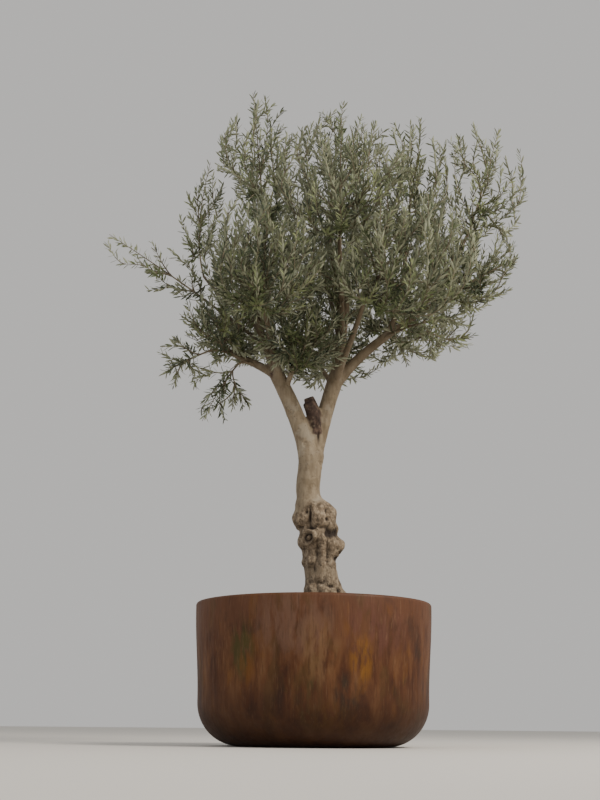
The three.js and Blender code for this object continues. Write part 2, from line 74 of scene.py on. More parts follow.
def select_only(*pieces):
    start_piece()
    for piece in pieces:
        piece.select_set(True)
    bpy.context.view_layer.objects.active = pieces[0]


def apply_modifier(piece, kind, **settings):
    """Adds a modifier with its settings and applies it."""
    select_only(piece)
    modifier = piece.modifiers.new(kind.title(), kind)
    for setting, value in settings.items():
        setattr(modifier, setting, value)
    bpy.ops.object.modifier_apply(modifier=modifier.name)


def mesh_piece(name, corners, faces, edges=()):
    """A new piece from an array of corners in millimetres and its faces or edges."""
    mesh = bpy.data.meshes.new(name)
    mesh.from_pydata(corners * METRES, edges, faces)
    piece = bpy.data.objects.new(name, mesh)
    bpy.context.collection.objects.link(piece)
    return piece


def repeat_faces(faces, corners_each, count):
    """One part's triangles again for each of many parts with as many corners."""
    first_corners = corners_each * np.arange(count)
    return (np.array(faces)[None] + first_corners[:, None, None]).reshape(-1, 3)


def unit(ways):
    """Ways of length one."""
    return ways / np.linalg.norm(ways, axis=-1, keepdims=True)


def finish_piece(piece, name, finish):
    """Names a piece, gives it its finish and lets it ride on the tree's one body."""
    piece.name = name
    piece.data.name = name
    if finish is not None:
        piece.data.materials.clear()
        piece.data.materials.append(finish)
    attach(piece, "root")
    triangles = sum(len(face.vertices) - 2 for face in piece.data.polygons)
    print(f"{name}: {triangles} triangles")


# %% [markdown]
# A finish is a small tree of nodes. One function adds a node with its settings and its inputs, where an
# input is either a plain value or the output of another node. Colours are written as they look on a screen
# and turned to the linear values that the shader works in. The steps that finishes share are functions too.

# %% Helpers for finishes
def colour(hex_code):
    """A screen colour such as 8a7d6c as the shader's linear red, green, blue and alpha."""
    parts = [int(hex_code[i:i + 2], 16) / 255 for i in (0, 2, 4)]
    linear = [p / 12.92 if p <= 0.04045 else ((p + 0.055) / 1.055) ** 2.4 for p in parts]
    return (*linear, 1.0)


def set_inputs(tree, node, inputs):
    """Sets a node's inputs, each to a value or to another node's output."""
    for socket, value in inputs.items():
        if isinstance(value, bpy.types.NodeSocket):
            tree.links.new(value, node.inputs[socket])
        else:
            node.inputs[socket].default_value = value


def add_node(tree, kind, inputs=None, **settings):
    """Adds a node with its settings and inputs."""
    node = tree.nodes.new(kind)
    for setting, value in settings.items():
        setattr(node, setting, value)
    set_inputs(tree, node, inputs or {})
    return node


def new_finish(name):
    """An empty finish and its tree, ready for nodes."""
    finish = bpy.data.materials.new(name)
    finish.use_nodes = True
    return finish, finish.node_tree


def set_shader(tree, inputs):
    """Gives the finish's shader what the nodes worked out."""
    set_inputs(tree, tree.nodes["Principled BSDF"], inputs)


def place_in(tree):
    """Where on the piece the finish is looked up, in metres."""
    node = tree.nodes.get("Texture Coordinate") or add_node(tree, "ShaderNodeTexCoord")
    return node.outputs["Object"]


def add_noise(tree, width, length, detail, roughness=0.5, distortion=0.0, shift=0):
    """Noise whose grains are this wide and, upwards, this long, in metres."""
    scaled = add_node(tree, "ShaderNodeMapping", {
        "Vector": place_in(tree), "Location": (shift, shift, 0),
        "Scale": (1 / width, 1 / width, 1 / length)}).outputs["Vector"]
    return add_node(tree, "ShaderNodeTexNoise", {
        "Vector": scaled, "Scale": 1.0, "Detail": detail, "Roughness": roughness,
        "Distortion": distortion}).outputs["Fac"]


def sum_of(tree, operation, *values):
    """One sum with the values of nodes."""
    return add_node(tree, "ShaderNodeMath", dict(enumerate(values)), operation=operation).outputs["Value"]


def share_between(tree, value, low, high, most, least=0.0, easing="SMOOTHSTEP"):
    """A share that grows from the least to the most while the value runs from low to high."""
    return add_node(tree, "ShaderNodeMapRange", {
        "Value": value, "From Min": low, "From Max": high, "To Min": least, "To Max": most},
        interpolation_type=easing).outputs["Result"]


def shade_by(tree, value, stops):
    """The colour that a value picks between stops, each a place from 0 to 1 and a colour."""
    ramp = add_node(tree, "ShaderNodeValToRGB", {"Fac": value})
    while len(ramp.color_ramp.elements) < len(stops):
        ramp.color_ramp.elements.new(0.5)
    for element, (place, shade) in zip(ramp.color_ramp.elements, stops):
        element.position = place
        element.color = colour(shade)
    return ramp.outputs["Color"]


def lay_colour(tree, under, share, over):
    """Lays a colour, plain or from a node, over another by a share."""
    over = colour(over) if isinstance(over, str) else over
    return add_node(tree, "ShaderNodeMix", {
        "Factor": share, "A": under, "B": over}, data_type="RGBA").outputs["Result"]


def add_bump(tree, height, strength, distance, under=None, invert=False):
    """Relief by shading alone, over other relief if there is some."""
    inputs = {"Height": height, "Strength": strength, "Distance": distance}
    if under is not None:
        inputs["Normal"] = under
    return add_node(tree, "ShaderNodeBump", inputs, invert=invert).outputs["Normal"]


# %% [markdown]
# ## The planter
# The real one is a thin moulded shell with a rolled rim and a wide round at its foot. A lathe makes such a
# shape, so half of its section is drawn as a line of corners and spun once round the upright axis.

# %% The planter's section
POT_RADIUS = 600
POT_HEIGHT = 700
POT_WALL = 30
POT_FOOT_ROUND = 210
POT_NARROWING = 20
SOIL_DROP = 60
GROUND = POT_HEIGHT - SOIL_DROP
GAP = 0.3
WELD_DISTANCE = 0.00001
ARC_STEPS = 20
WALL_STEPS = 12
SPIN_STEPS = 128
RIM_STEPS = 9


def pot_section(depth, top):
    """Corners as radius and height at a depth under the outer face, from the axis out and up."""
    reach = POT_FOOT_ROUND - depth
    middle = POT_RADIUS - POT_NARROWING - POT_FOOT_ROUND
    corners = [(middle / 2, depth)]
    for angle in np.linspace(-math.pi / 2, 0, ARC_STEPS):
        corners.append((middle + reach * math.cos(angle), POT_FOOT_ROUND + reach * math.sin(angle)))
    for share in np.linspace(0, 1, WALL_STEPS + 1)[1:]:
        drawn_in = POT_NARROWING * (1 + math.cos(math.pi * share)) / 2
        height = POT_FOOT_ROUND + (top - POT_FOOT_ROUND) * share
        corners.append((POT_RADIUS - drawn_in - depth, height))
    return corners


rim_round = POT_WALL / 2
rim_middle = POT_RADIUS - rim_round
wall_top = POT_HEIGHT - rim_round
rim = [(rim_middle + rim_round * math.cos(a), wall_top + rim_round * math.sin(a))
       for a in np.linspace(0, math.pi, RIM_STEPS)[1:-1]]
shell_section = pot_section(0, wall_top) + rim + pot_section(POT_WALL, wall_top)[::-1]
print("corners in the shell's section:", len(shell_section))


# %% Spinning a section
def spin_piece(section):
    """Spins a section that starts and ends at the axis into one closed skin."""
    closed = [(0, section[0][1])] + section + [(0, section[-1][1])]
    corners = np.array([(radius, 0, height) for radius, height in closed])
    piece = mesh_piece("section", corners, [], [(i, i + 1) for i in range(len(closed) - 1)])
    select_only(piece)
    bpy.ops.object.mode_set(mode="EDIT")
    bpy.ops.mesh.select_all(action="SELECT")
    bpy.ops.mesh.spin(steps=SPIN_STEPS, angle=2 * math.pi, center=(0, 0, 0), axis=(0, 0, 1))
    bpy.ops.mesh.select_all(action="SELECT")
    bpy.ops.mesh.remove_doubles(threshold=WELD_DISTANCE)
    bpy.ops.mesh.normals_make_consistent(inside=False)
    bpy.ops.object.mode_set(mode="OBJECT")
    bpy.ops.object.shade_smooth()
    return piece


pot = spin_piece(shell_section)
print("planter across:", round(pot.dimensions.x, 3), "m")

# %% [markdown]
# The finish is fibre cement painted to look like rusted steel. It was wiped on downwards, so each layer is
# noise that is stretched along the height: broad brown smears, plainer towards the rim, then faint olive,
# ochre and nearly black stains. The large stains stand in their own places, with a pale painted highlight
# high on the front among them, and fine pale and dark streaks run over them. Painted shade makes the foot
# darkest. A soft sheen comes from the sealer over it all, and its grain is a low bump.

# %% Layers of the rusty finish
SMEARS = [(0.30, "34190a"), (0.44, "4b2912"), (0.58, "5c391e"), (0.74, "6b492d")]
# Heights in metres at which a layer starts and is full, then its share and shade
PLAIN_TOP = (0.35, 0.66, 0.75, "5c3a26")
# Painted shade that darkens the planter towards its foot
PAINTED_FOOT_SHADE = (0.36, 0.03, 0.75, "2c1606")
# Width, length, detail and shift of the noise, where the layer starts and is full in it, its share and shade
FAINT_STAINS = [
    (0.12, 0.24, 4.0, 5, 0.53, 0.66, 0.35, "3f3312"),
    (0.08, 0.20, 3.0, 9, 0.59, 0.72, 0.35, "70460f"),
    (0.13, 0.16, 5.0, 3, 0.54, 0.68, 0.4, "25160c"),
]
STREAKS = [
    (0.009, 0.07, 4.0, 7, 0.52, 0.76, 0.35, "7a5c42"),
    (0.008, 0.10, 4.0, 4, 0.52, 0.76, 0.4, "2a180c"),
]
# Sideways place, height, half width, half height, share and shade of each large stain, and of the pale
# painted highlight that comes first
STAINS_AND_HIGHLIGHT = [
    # A pale painted highlight high on the front
    (-95, 560, 260, 200, 0.6, "6c5040"),
    (290, 540, 220, 180, 0.6, "5f3b2f"),
    (10, 430, 130, 200, 0.5, "785b3e"),
    (-339, 440, 75, 170, 0.75, "3b3a14"),
    (-325, 350, 65, 110, 0.7, "6b4212"),
    (219, 400, 75, 150, 0.75, "7a5010"),
    (-30, 220, 80, 180, 0.6, "3c381a"),
    (147, 225, 75, 130, 0.7, "24231a"),
    (60, 130, 130, 110, 0.6, "5e3f10"),
]
OVAL_NOISE_SHIFT = 11
OVAL_SOFTNESS = 0.6

rust, tree = new_finish("rusty_finish_on_fibre_cement")


def wall_noise(width, length, detail, shift):
    """The slightly wavering noise of all layers."""
    return add_noise(tree, width, length, detail, roughness=0.55, distortion=0.25, shift=shift)


def wipe(under, layers):
    """Lays colours over another, each where its own noise is high."""
    for *grains, low, high, most, shade in layers:
        under = lay_colour(tree, under, share_between(tree, wall_noise(*grains), low, high, most), shade)
    return under


def height_layer(under, low, high, most, shade):
    """Lays a colour over another by the height above the ground."""
    height = add_node(tree, "ShaderNodeSeparateXYZ", {"Vector": place_in(tree)}).outputs["Z"]
    return lay_colour(tree, under, share_between(tree, height, low, high, most), shade)


def stain_and_highlight_share(x, height, wide, tall, most, shift):
    """A soft patchy oval on the front and the back of the wall."""
    scaled = add_node(tree, "ShaderNodeMapping", {
        "Vector": place_in(tree), "Location": (-x / wide, 0, -height / tall),
        "Scale": (1 / (wide * METRES), 0, 1 / (tall * METRES))}).outputs["Vector"]
    oval = add_node(tree, "ShaderNodeTexGradient", {"Vector": scaled}, gradient_type="SPHERICAL")
    patches = share_between(tree, wall_noise(0.035, 0.13, 5.0, shift), 0.38, 0.6, 1.0)
    fading = share_between(tree, oval.outputs["Fac"], 0.0, OVAL_SOFTNESS, most)
    return sum_of(tree, "MULTIPLY", fading, patches)


print("large stains:", len(STAINS_AND_HIGHLIGHT))

# %% Rusty finish
look = shade_by(tree, wall_noise(0.075, 0.24, 4.0, 0), SMEARS)
look = wipe(height_layer(look, *PLAIN_TOP), FAINT_STAINS)
# The stains, and the pale painted highlight, each as a soft patchy oval
for number, (*oval, shade) in enumerate(STAINS_AND_HIGHLIGHT):
    look = lay_colour(tree, look, stain_and_highlight_share(*oval, OVAL_NOISE_SHIFT + number), shade)
# Painted shade darkens the planter towards its foot
look = height_layer(wipe(look, STREAKS), *PAINTED_FOOT_SHADE)
set_shader(tree, {
    "Base Color": look,
    "Roughness": share_between(tree, wall_noise(0.02, 0.12, 4.0, 2), 0.3, 0.7, 0.66, 0.5, "LINEAR"),
    "Normal": add_bump(tree, wall_noise(0.004, 0.005, 3.0, 1), strength=0.15, distance=0.001),
    "Specular IOR Level": 0.25,
})
finish_piece(pot, "planter_shell", rust)
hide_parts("pot")

# %% [markdown]
# ## The soil
# Potting soil with bits of bark fills the planter to a little under its rim. Its body is spun inside the
# shell, and its top is inset ring by ring, so that there are enough corners to lift into crumbs and a low
# mound.

# %% Soil body
SOIL_RINGS = 44
RINGED_SHARE = 0.94
TOP_EDGE = 20
ABOVE_SIDES = (GROUND - 1) * METRES
soil_section = [(r, z) for r, z in pot_section(POT_WALL + GAP, wall_top) if z < GROUND - TOP_EDGE]
soil_radius = soil_section[-1][0]
soil = spin_piece(soil_section + [(soil_radius, GROUND)])
select_only(soil)
bpy.ops.object.mode_set(mode="EDIT")
bpy.ops.mesh.select_mode(type="FACE")
bpy.ops.mesh.select_all(action="DESELECT")
bpy.ops.object.mode_set(mode="OBJECT")
for face in soil.data.polygons:
    face.select = face.center.z > ABOVE_SIDES
bpy.ops.object.mode_set(mode="EDIT")
bpy.ops.mesh.dissolve_faces()
for ring in range(SOIL_RINGS):
    bpy.ops.mesh.inset(thickness=RINGED_SHARE * soil_radius * METRES / SOIL_RINGS, use_boundary=True)
bpy.ops.object.mode_set(mode="OBJECT")
print("corners in the soil:", len(soil.data.vertices))


# %% Crumbs and mound
CLOD_SIZE = 70
CLOD_RISE = 9
CRUMB_SIZE = 17
CRUMB_RISE = 6
CRUMB_MEAN = 0.6
CRUMB_LAYERS = 3
WALL_FADE = 30
MOUND_MIDDLE = (55, 0)
MOUND_RADIUS = 150
MOUND_FADE = 60
MOUND_RISE = 12


def soil_height(x, y):
    """Height of the crumbly top over the level of the soil, in millimetres."""
    from_wall = min(1.0, (soil_radius - math.hypot(x, y)) / WALL_FADE)
    clods = noise.noise(Vector((x, y, 0)) / CLOD_SIZE)
    crumbs = noise.turbulence(Vector((x, y, 7)) / CRUMB_SIZE, CRUMB_LAYERS, False)
    outside = max(0, math.dist((x, y), MOUND_MIDDLE) - MOUND_RADIUS)
    mound = MOUND_RISE * math.exp(-(outside / MOUND_FADE) ** 2)
    return from_wall * (mound + CLOD_RISE * clods + CRUMB_RISE * (crumbs - CRUMB_MEAN))


for corner in soil.data.vertices:
    if corner.co.z > ABOVE_SIDES:
        corner.co.z += soil_height(corner.co.x / METRES, corner.co.y / METRES) * METRES
print("soil top:", round(max(corner.co.z for corner in soil.data.vertices), 4), "m")

# %% [markdown]
# Moist soil is almost black between its crumbs and brown on them. Nothing on it shines, so its roughness is
# high.

# %% Soil finish
earth, tree = new_finish("moist_potting_soil")
crumbs = add_noise(tree, 0.009, 0.009, 5.0, 0.65)
set_shader(tree, {
    "Base Color": shade_by(tree, crumbs, [
        (0.35, "1d140d"), (0.52, "3b2a1d"), (0.66, "5a4432"), (0.78, "7c6650")]),
    "Roughness": 0.95,
    "Normal": add_bump(tree, crumbs, strength=0.6, distance=0.004),
})
finish_piece(soil, "potting_soil", earth)
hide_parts("soil")

# %% [markdown]
# Potting soil holds chips of composted bark and small clods, which catch the light. Each is a flat lump of
# six corners with its own size and turn, and all of them are one mesh that is made from arrays.

# %% Chips and clods
CHIP_COUNT = 1700
CHIP_SIZES = (3.0, 10.0)
CHIP_SHAPE = [1.3, 0.8, 0.45]
CHIP_SPREAD = (0.5, 1.3)
CHIP_TILT = 0.25
CHIP_LIFT = 0.25
FROM_WALL = 12
TURNS_APART = 7
CHIP_FACES = [(0, 2, 4), (2, 1, 4), (1, 3, 4), (3, 0, 4), (2, 0, 5), (1, 2, 5), (3, 1, 5), (0, 3, 5)]

random = np.random.default_rng(WOOD_SEED)
turns = random.uniform(0, 2 * math.pi, CHIP_COUNT)
reaches = (soil_radius - FROM_WALL) * np.sqrt(random.random(CHIP_COUNT))
middles = np.stack([reaches * np.cos(turns), reaches * np.sin(turns), np.zeros(CHIP_COUNT)], axis=1)
sizes = np.exp(random.uniform(*np.log(CHIP_SIZES), CHIP_COUNT))
middles[:, 2] = [GROUND + soil_height(x, y) for x, y in middles[:, :2]]
middles[:, 2] += CHIP_LIFT * sizes
spread = random.uniform(*CHIP_SPREAD, (CHIP_COUNT, 3)) * sizes[:, None] * CHIP_SHAPE
tilts = random.normal(0, CHIP_TILT, CHIP_COUNT)
long_way = unit(np.stack([np.cos(turns * TURNS_APART), np.sin(turns * TURNS_APART), tilts], axis=1))
short_way = unit(np.cross([0.0, 0.0, 1.0], long_way))
upward = np.cross(long_way, short_way)
arms = [way * spread[:, i:i + 1] for i, way in enumerate((long_way, short_way, upward))]
chip_corners = np.stack([middles + side * arm for arm in arms for side in (1, -1)], axis=1)
chips = mesh_piece("soil_chips", chip_corners.reshape(-1, 3), repeat_faces(CHIP_FACES, 6, CHIP_COUNT))

composted_bark, tree = new_finish("composted_bark_chips")
tint = add_noise(tree, 0.02, 0.02, 2.0)
set_shader(tree, {
    "Base Color": shade_by(tree, tint, [(0.35, "2a1e15"), (0.5, "4a3626"), (0.65, "735a42")]),
    "Roughness": 0.9,
})
finish_piece(chips, "soil_chips", composted_bark)
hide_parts("soil")

# %% [markdown]
# ## The limbs' lines
# The trunk follows a smooth line through six places. Each bough is a curve with two handles: it sets out
# between the way of the limb that it leaves and the way to its tip, and its end turns up or down a little.
# The same lines place the twigs later, so they are worked out first.

# %% Lines and ways
TRUNK_LINE = [
    [50, 0, GROUND + GAP],
    [38, 0, 870],
    [22, 0, 1080],
    [-32, 0, 1270],
    [-24, 0, 1420],
    [-14, 10, 1530],
]
LINE_STEPS = 40
WAY_SPAN = 0.01


def bezier(handles, steps):
    """Points along a Bezier curve with any number of handles."""
    shares = np.linspace(0, 1, steps + 1)[:, None]
    lines = [np.broadcast_to(np.asarray(handle, float), (steps + 1, 3)) for handle in handles]
    while len(lines) > 1:
        lines = [a + (b - a) * shares for a, b in zip(lines, lines[1:])]
    return lines[0]


def length_of(line):
    return np.linalg.norm(np.diff(line, axis=0), axis=1).sum()


def along(line, shares):
    """Points at shares of a line's length."""
    lengths = np.concatenate([[0], np.cumsum(np.linalg.norm(np.diff(line, axis=0), axis=1))])
    return np.stack([np.interp(np.asarray(shares) * lengths[-1], lengths, axis) for axis in line.T], -1)


def way_at(line, share):
    """The way that a line runs at a share of its length."""
    before, after = along(line, [max(share - WAY_SPAN, 0), min(share + WAY_SPAN, 1)])
    return unit(after - before)


# %% The trunk's line
def smooth_line(places):
    """A curve through places, whose speed follows the square root of their distances."""
    places = np.asarray(places, float)
    places = np.vstack([2 * places[0] - places[1], places, 2 * places[-1] - places[-2]])
    line = []
    for a, b, c, d in zip(places, places[1:], places[2:], places[3:]):
        ab, bc, cd = (math.sqrt(np.linalg.norm(v)) for v in (b - a, c - b, d - c))
        leave = ((b - a) / ab - (c - a) / (ab + bc) + (c - b) / bc) * bc
        arrive = ((c - b) / bc - (d - b) / (bc + cd) + (d - c) / cd) * bc
        piece = bezier([b, b + leave / 3, c - arrive / 3, c], LINE_STEPS)
        line.append(piece if not line else piece[1:])
    return np.vstack(line)


trunk_line = smooth_line(TRUNK_LINE)
print("length of the trunk:", round(length_of(trunk_line)), "mm")

# %% The boughs' curves
# Name, parent, where on the parent, tip, radii at root and tip, and how much its end turns up
BOUGHS = [
    ("left", "trunk", 0.9, [-215, -42, 1935], (52, 40), -0.25),
    ("right", "trunk", 0.9, [118, 66, 1935], (42, 44), -0.25),
    ("stub", "right", 0.4, [-34, -14, 1795], (32, 29), 0.2),
    ("low_left", "left", 0.9, [-460, -50, 2040], (27, 16), 0.1),
    ("mid_left", "left", 0.88, [-360, -90, 2310], (30, 15), 0.1),
    ("left_arm", "mid_left", 0.35, [-540, -30, 2290], (13, 8), 0),
    ("left_shoots", "mid_left", 0.6, [-620, 30, 2500], (11, 7), 0.3),
    ("top_left", "mid_left", 0.5, [-290, 20, 2740], (17, 9), 0.3),
    ("front_left", "left", 0.8, [-270, -340, 2200], (24, 12), 0.2),
    ("back_left", "left", 0.86, [-290, 340, 2240], (24, 12), 0.2),
    ("low_mid", "left", 0.72, [-85, -150, 2010], (17, 10), 0.3),
    ("hanging", "low_left", 0.6, [-570, -140, 2010], (10, 6), -0.6),
    ("drooping", "low_left", 0.45, [-410, -120, 1945], (9, 6), -0.8),
    ("mid", "right", 0.88, [170, -50, 2320], (36, 18), 0.1),
    ("top_mid", "mid", 0.55, [80, 60, 2750], (20, 10), 0.3),
    ("right_side", "right", 0.86, [730, 60, 2410], (33, 14), -0.1),
    ("far_right", "right_side", 0.72, [850, 10, 2760], (14, 8), 0.4),
    ("top_right", "right_side", 0.5, [510, -20, 2720], (17, 9), 0.4),
    ("low_right", "right_side", 0.45, [520, -60, 2190], (12, 8), -0.2),
    ("front_right", "right", 0.84, [250, -330, 2230], (24, 12), 0.2),
    ("back_right", "right", 0.88, [400, 370, 2280], (26, 13), 0.2),
    ("low_back", "right", 0.8, [20, 300, 2100], (16, 10), 0.3),
    ("top_back", "mid", 0.35, [70, 400, 2620], (18, 9), 0.3),
    ("top_front", "mid", 0.5, [120, -390, 2560], (17, 9), 0.3),
]
# How far the great boughs' roots stand beside the trunk's line
BESIDE = {"left": [-10, -16, 0], "right": [20, 38, 0]}
LEAVING = 0.35
UP = np.array([0.0, 0.0, 1.0])
STEM_RADIUS = 63

limbs = {"trunk": {"line": trunk_line, "radii": (STEM_RADIUS, STEM_RADIUS)}}
for name, parent, at, tip, radii, turn in BOUGHS:
    parent_line = limbs[parent]["line"]
    root = along(parent_line, at) + BESIDE.get(name, [0, 0, 0])
    tip = np.array(tip, float)
    reach = np.linalg.norm(tip - root)
    way = (tip - root) / reach
    leave = unit(way_at(parent_line, at) + way)
    arrive = unit(way + turn * UP)
    handles = [root, root + LEAVING * reach * leave, tip - LEAVING * reach * arrive, tip]
    limbs[name] = {"line": bezier(handles, LINE_STEPS), "radii": radii, "handles": handles}
print("limbs:", len(limbs))

# %% [markdown]
# ## The trunk
# The stem is smooth and pale under the fork, with a swollen burr below that. A circle is extruded ring by
# ring along the trunk's line, as one would by hand, and then each ring is pushed out to the girth and
# swellings that the trunk has at its height.

# %% Trunk rings
BURR_RADIUS = 80
BURR_TOP = 1235
BURR_SHOULDER = 25
FLARE = 48
FLARE_HEIGHT = 80
TRUNK_DOME = 45
DOME_FLATNESS = 0.02
TRUNK_SIDES = 48
TRUNK_RINGS = 90
FOOT_IN_SOIL = 22

start_piece()
centres = along(trunk_line, np.linspace(0, 1, TRUNK_RINGS + 1))
centres[0, 2] -= FOOT_IN_SOIL
bpy.ops.mesh.primitive_circle_add(
    vertices=TRUNK_SIDES, radius=STEM_RADIUS * METRES, fill_type="NGON", location=centres[0] * METRES)
trunk = bpy.context.object
bpy.ops.object.transform_apply()
bpy.ops.object.mode_set(mode="EDIT")
for lower, upper in zip(centres, centres[1:]):
    rise = (upper - lower) * METRES
    bpy.ops.mesh.extrude_region_move(TRANSFORM_OT_translate={"value": tuple(rise)})
bpy.ops.mesh.select_all(action="SELECT")
bpy.ops.mesh.normals_make_consistent(inside=False)
bpy.ops.object.mode_set(mode="OBJECT")
print("trunk rings:", TRUNK_RINGS)

# %% Girth and swellings
# Height, bearing in degrees with -90 at the front, rise, half height and half width in degrees
SWELLINGS = [
    (1185, 0, 44, 48, 50),
    (1140, 180, 40, 42, 45),
    (1150, 80, 40, 50, 50),
    (1092, 0, 26, 32, 60),
    (1092, 170, 12, 30, 60),
    (1130, -60, 26, 40, 35),
    (1045, -100, 34, 40, 30),
    (1005, 0, 44, 45, 50),
    (1020, 190, 30, 45, 45),
    (1000, 110, 36, 50, 50),
    (920, 180, 20, 16, 25),
    (700, -5, 62, 75, 28),
    (650, 205, 45, 75, 26),
    (650, -82, 48, 70, 24),
    (650, 100, 50, 75, 26),
    (650, 52, 34, 60, 20),
    (1490, 62, 22, 60, 55),
]


def smoothstep(value, low, high):
    share = np.clip((value - low) / (high - low), 0, 1)
    return share * share * (3 - 2 * share)


def trunk_radius(height, bearing):
    """The trunk's radius at a height and at bearings in degrees."""
    shoulder = smoothstep(height, BURR_TOP - BURR_SHOULDER, BURR_TOP + BURR_SHOULDER)
    radius = BURR_RADIUS + (STEM_RADIUS - BURR_RADIUS) * shoulder
    radius = radius + FLARE * np.exp((GROUND - height) / FLARE_HEIGHT)
    for middle, towards, rise, tall, wide in SWELLINGS:
        turn = (bearing - towards + 180) % 360 - 180
        radius = radius + rise * np.exp(-((height - middle) / tall) ** 2 - (turn / wide) ** 2)
    return radius


corners = np.array([corner.co for corner in trunk.data.vertices]) / METRES
ring = np.abs(corners[:, 2:3] - centres[None, :, 2]).argmin(axis=1)
offset = corners - centres[ring]
bearing = np.degrees(np.arctan2(offset[:, 1], offset[:, 0]))
height = np.maximum(centres[ring, 2], GROUND)
into_dome = np.clip(1 + (height - centres[-1, 2]) / TRUNK_DOME, 0, 1)
rounding = np.sqrt(np.clip(1 - into_dome ** 2, DOME_FLATNESS, 1))
radius = trunk_radius(height, bearing) * rounding
corners[:, 0] = centres[ring, 0] + radius * np.cos(np.radians(bearing))
corners[:, 1] = centres[ring, 1] + radius * np.sin(np.radians(bearing))
trunk.data.vertices.foreach_set("co", (corners * METRES).ravel())
trunk.data.update()
print("burr across:", round(2 * float(radius[height > GROUND + 3 * FLARE_HEIGHT].max())), "mm")

# %% [markdown]
# ## The boughs
# A bough is a tapering limb, so a Bezier curve with a bevel suits it: the handles are the ones worked out
# above, and the radius at each end is the limb's. Each curve becomes a mesh, and the great boughs are fused
# with the trunk by a voxel remesh, which welds them in the smooth saddles that living wood has at a fork.

# %% Boughs from curves
GREAT_RADIUS = 24
BEVEL_STEPS = 4
CURVE_STEPS = 24
VOXEL = 0.0048
SMOOTH_FACTOR = 0.5
SMOOTHING = 14
FORK_SMOOTHING = 60
FORK_HEIGHT = 1535
FORK_SPREAD = 60
LEAST_NEARNESS = 0.02


def bough_tube(limb):
    """A tapering tube along a limb's curve, with closed ends."""
    start_piece()
    bpy.ops.curve.primitive_bezier_curve_add()
    piece = bpy.context.object
    root, root_handle, tip_handle, tip = (Vector(handle) * METRES for handle in limb["handles"])
    ends = piece.data.splines[0].bezier_points
    handles = [(2 * root - root_handle, root_handle), (tip_handle, 2 * tip - tip_handle)]
    for end, place, (before, after), radius in zip(ends, (root, tip), handles, limb["radii"]):
        end.handle_left_type = "FREE"
        end.handle_right_type = "FREE"
        end.co = place
        end.handle_left = before
        end.handle_right = after
        end.radius = radius
    piece.data.bevel_depth = METRES
    piece.data.bevel_resolution = BEVEL_STEPS
    piece.data.resolution_u = CURVE_STEPS
    piece.data.use_fill_caps = True
    bpy.ops.object.convert(target="MESH")
    apply_modifier(piece, "WELD", merge_threshold=WELD_DISTANCE)
    return piece


great_names = [row[0] for row in BOUGHS if row[4][0] >= GREAT_RADIUS]
finer_names = [row[0] for row in BOUGHS if row[4][0] < GREAT_RADIUS]
great = [bough_tube(limbs[name]) for name in great_names]
finer = [bough_tube(limbs[name]) for name in finer_names]
# The stub is what is left of a third stem, whose dead wood fills the crotch
DEAD_WOOD = {
    "handles": [(22, 12, 1525), (13, 2, 1605), (-8, -10, 1690), (-30, -12, 1768)],
    "radii": (28, 37),
}
great.append(bough_tube(DEAD_WOOD))
print("great boughs:", len(great), "finer boughs:", len(finer))

# %% Welding the great boughs to the trunk
select_only(trunk, *great)
bpy.ops.object.join()
wood = bpy.context.object
bpy.ops.object.transform_apply()
apply_modifier(wood, "REMESH", mode="VOXEL", voxel_size=VOXEL)
apply_modifier(wood, "SMOOTH", factor=SMOOTH_FACTOR, iterations=SMOOTHING)
fork = wood.vertex_groups.new(name="fork")
for corner in wood.data.vertices:
    nearness = math.exp(-((corner.co.z / METRES - FORK_HEIGHT) / FORK_SPREAD) ** 2)
    if nearness > LEAST_NEARNESS:
        fork.add([corner.index], nearness, "REPLACE")
apply_modifier(wood, "SMOOTH", factor=SMOOTH_FACTOR, iterations=FORK_SMOOTHING, vertex_group="fork")
print("corners in the great limbs:", len(wood.data.vertices))

# %% [markdown]
# ## The bark's relief
# Olive bark is smooth on young limbs. The old burr has swollen lobes over a crease, upright ribs under it,
# round knots like eyes and deep pockets, and small lumps and clefts run round the foot. Each is listed with
# its place and size, and noise with the grain of bark is added to them. Each corner of the skin is moved
# along its normal by their sum. Three attributes keep, for the finish, where the bark sinks in and so gets
# a painted shade, and where it is old or cut.

# %% Lobes, ribs, pockets and knots
FRONT = -1
BACK = 1
# Sideways place, height, half width, half height, and how far it stands out, or in where negative
FRONT_LUMPS = [
    (-73, 1120, 40, 32, 12),
    (20, 1134, 36, 36, 14),
    (-22, 1140, 8, 46, -20),
    (-68, 1090, 30, 9, -13),
    (-14, 1082, 30, 9, -14),
    (38, 1084, 26, 10, -12),
    (-44, 1080, 14, 16, 9),
    (14, 1076, 12, 14, 8),
    (40, 1204, 24, 24, 12),
    (66, 1128, 12, 14, -16),
    (60, 1176, 10, 26, -10),
    (96, 1160, 22, 30, 9),
    (-42, 1166, 9, 10, -9),
    (80, 1052, 26, 22, -17),
    (118, 1062, 16, 18, -15),
    (40, 965, 12, 95, 12),
    (67, 965, 9, 80, -10),
    (93, 960, 12, 64, 12),
    (12, 960, 9, 70, -7),
    (140, 996, 26, 36, 12),
    (122, 930, 28, 12, -16),
    (-22, 916, 11, 34, 12),
    (-68, 902, 16, 14, 12),
    (0, 872, 12, 24, -9),
    (-60, 965, 10, 40, -7),
    (-18, 768, 30, 24, 14),
    (-20, 806, 18, 9, -6),
    (18, 770, 8, 24, -12),
    (52, 762, 26, 22, 14),
    (34, 800, 18, 8, -9),
    (84, 786, 24, 9, -12),
    (58, 812, 12, 26, -6),
    (84, 744, 8, 22, -12),
    (104, 752, 16, 20, 12),
    (124, 766, 10, 18, -16),
    (4, 700, 14, 26, -12),
    (70, 694, 13, 24, -12),
    (36, 690, 22, 22, 9),
    (130, 700, 12, 26, -12),
    (-50, 710, 12, 26, -10),
    (20, 1588, 9, 46, -13),
    (6, 1650, 9, 40, -10),
]
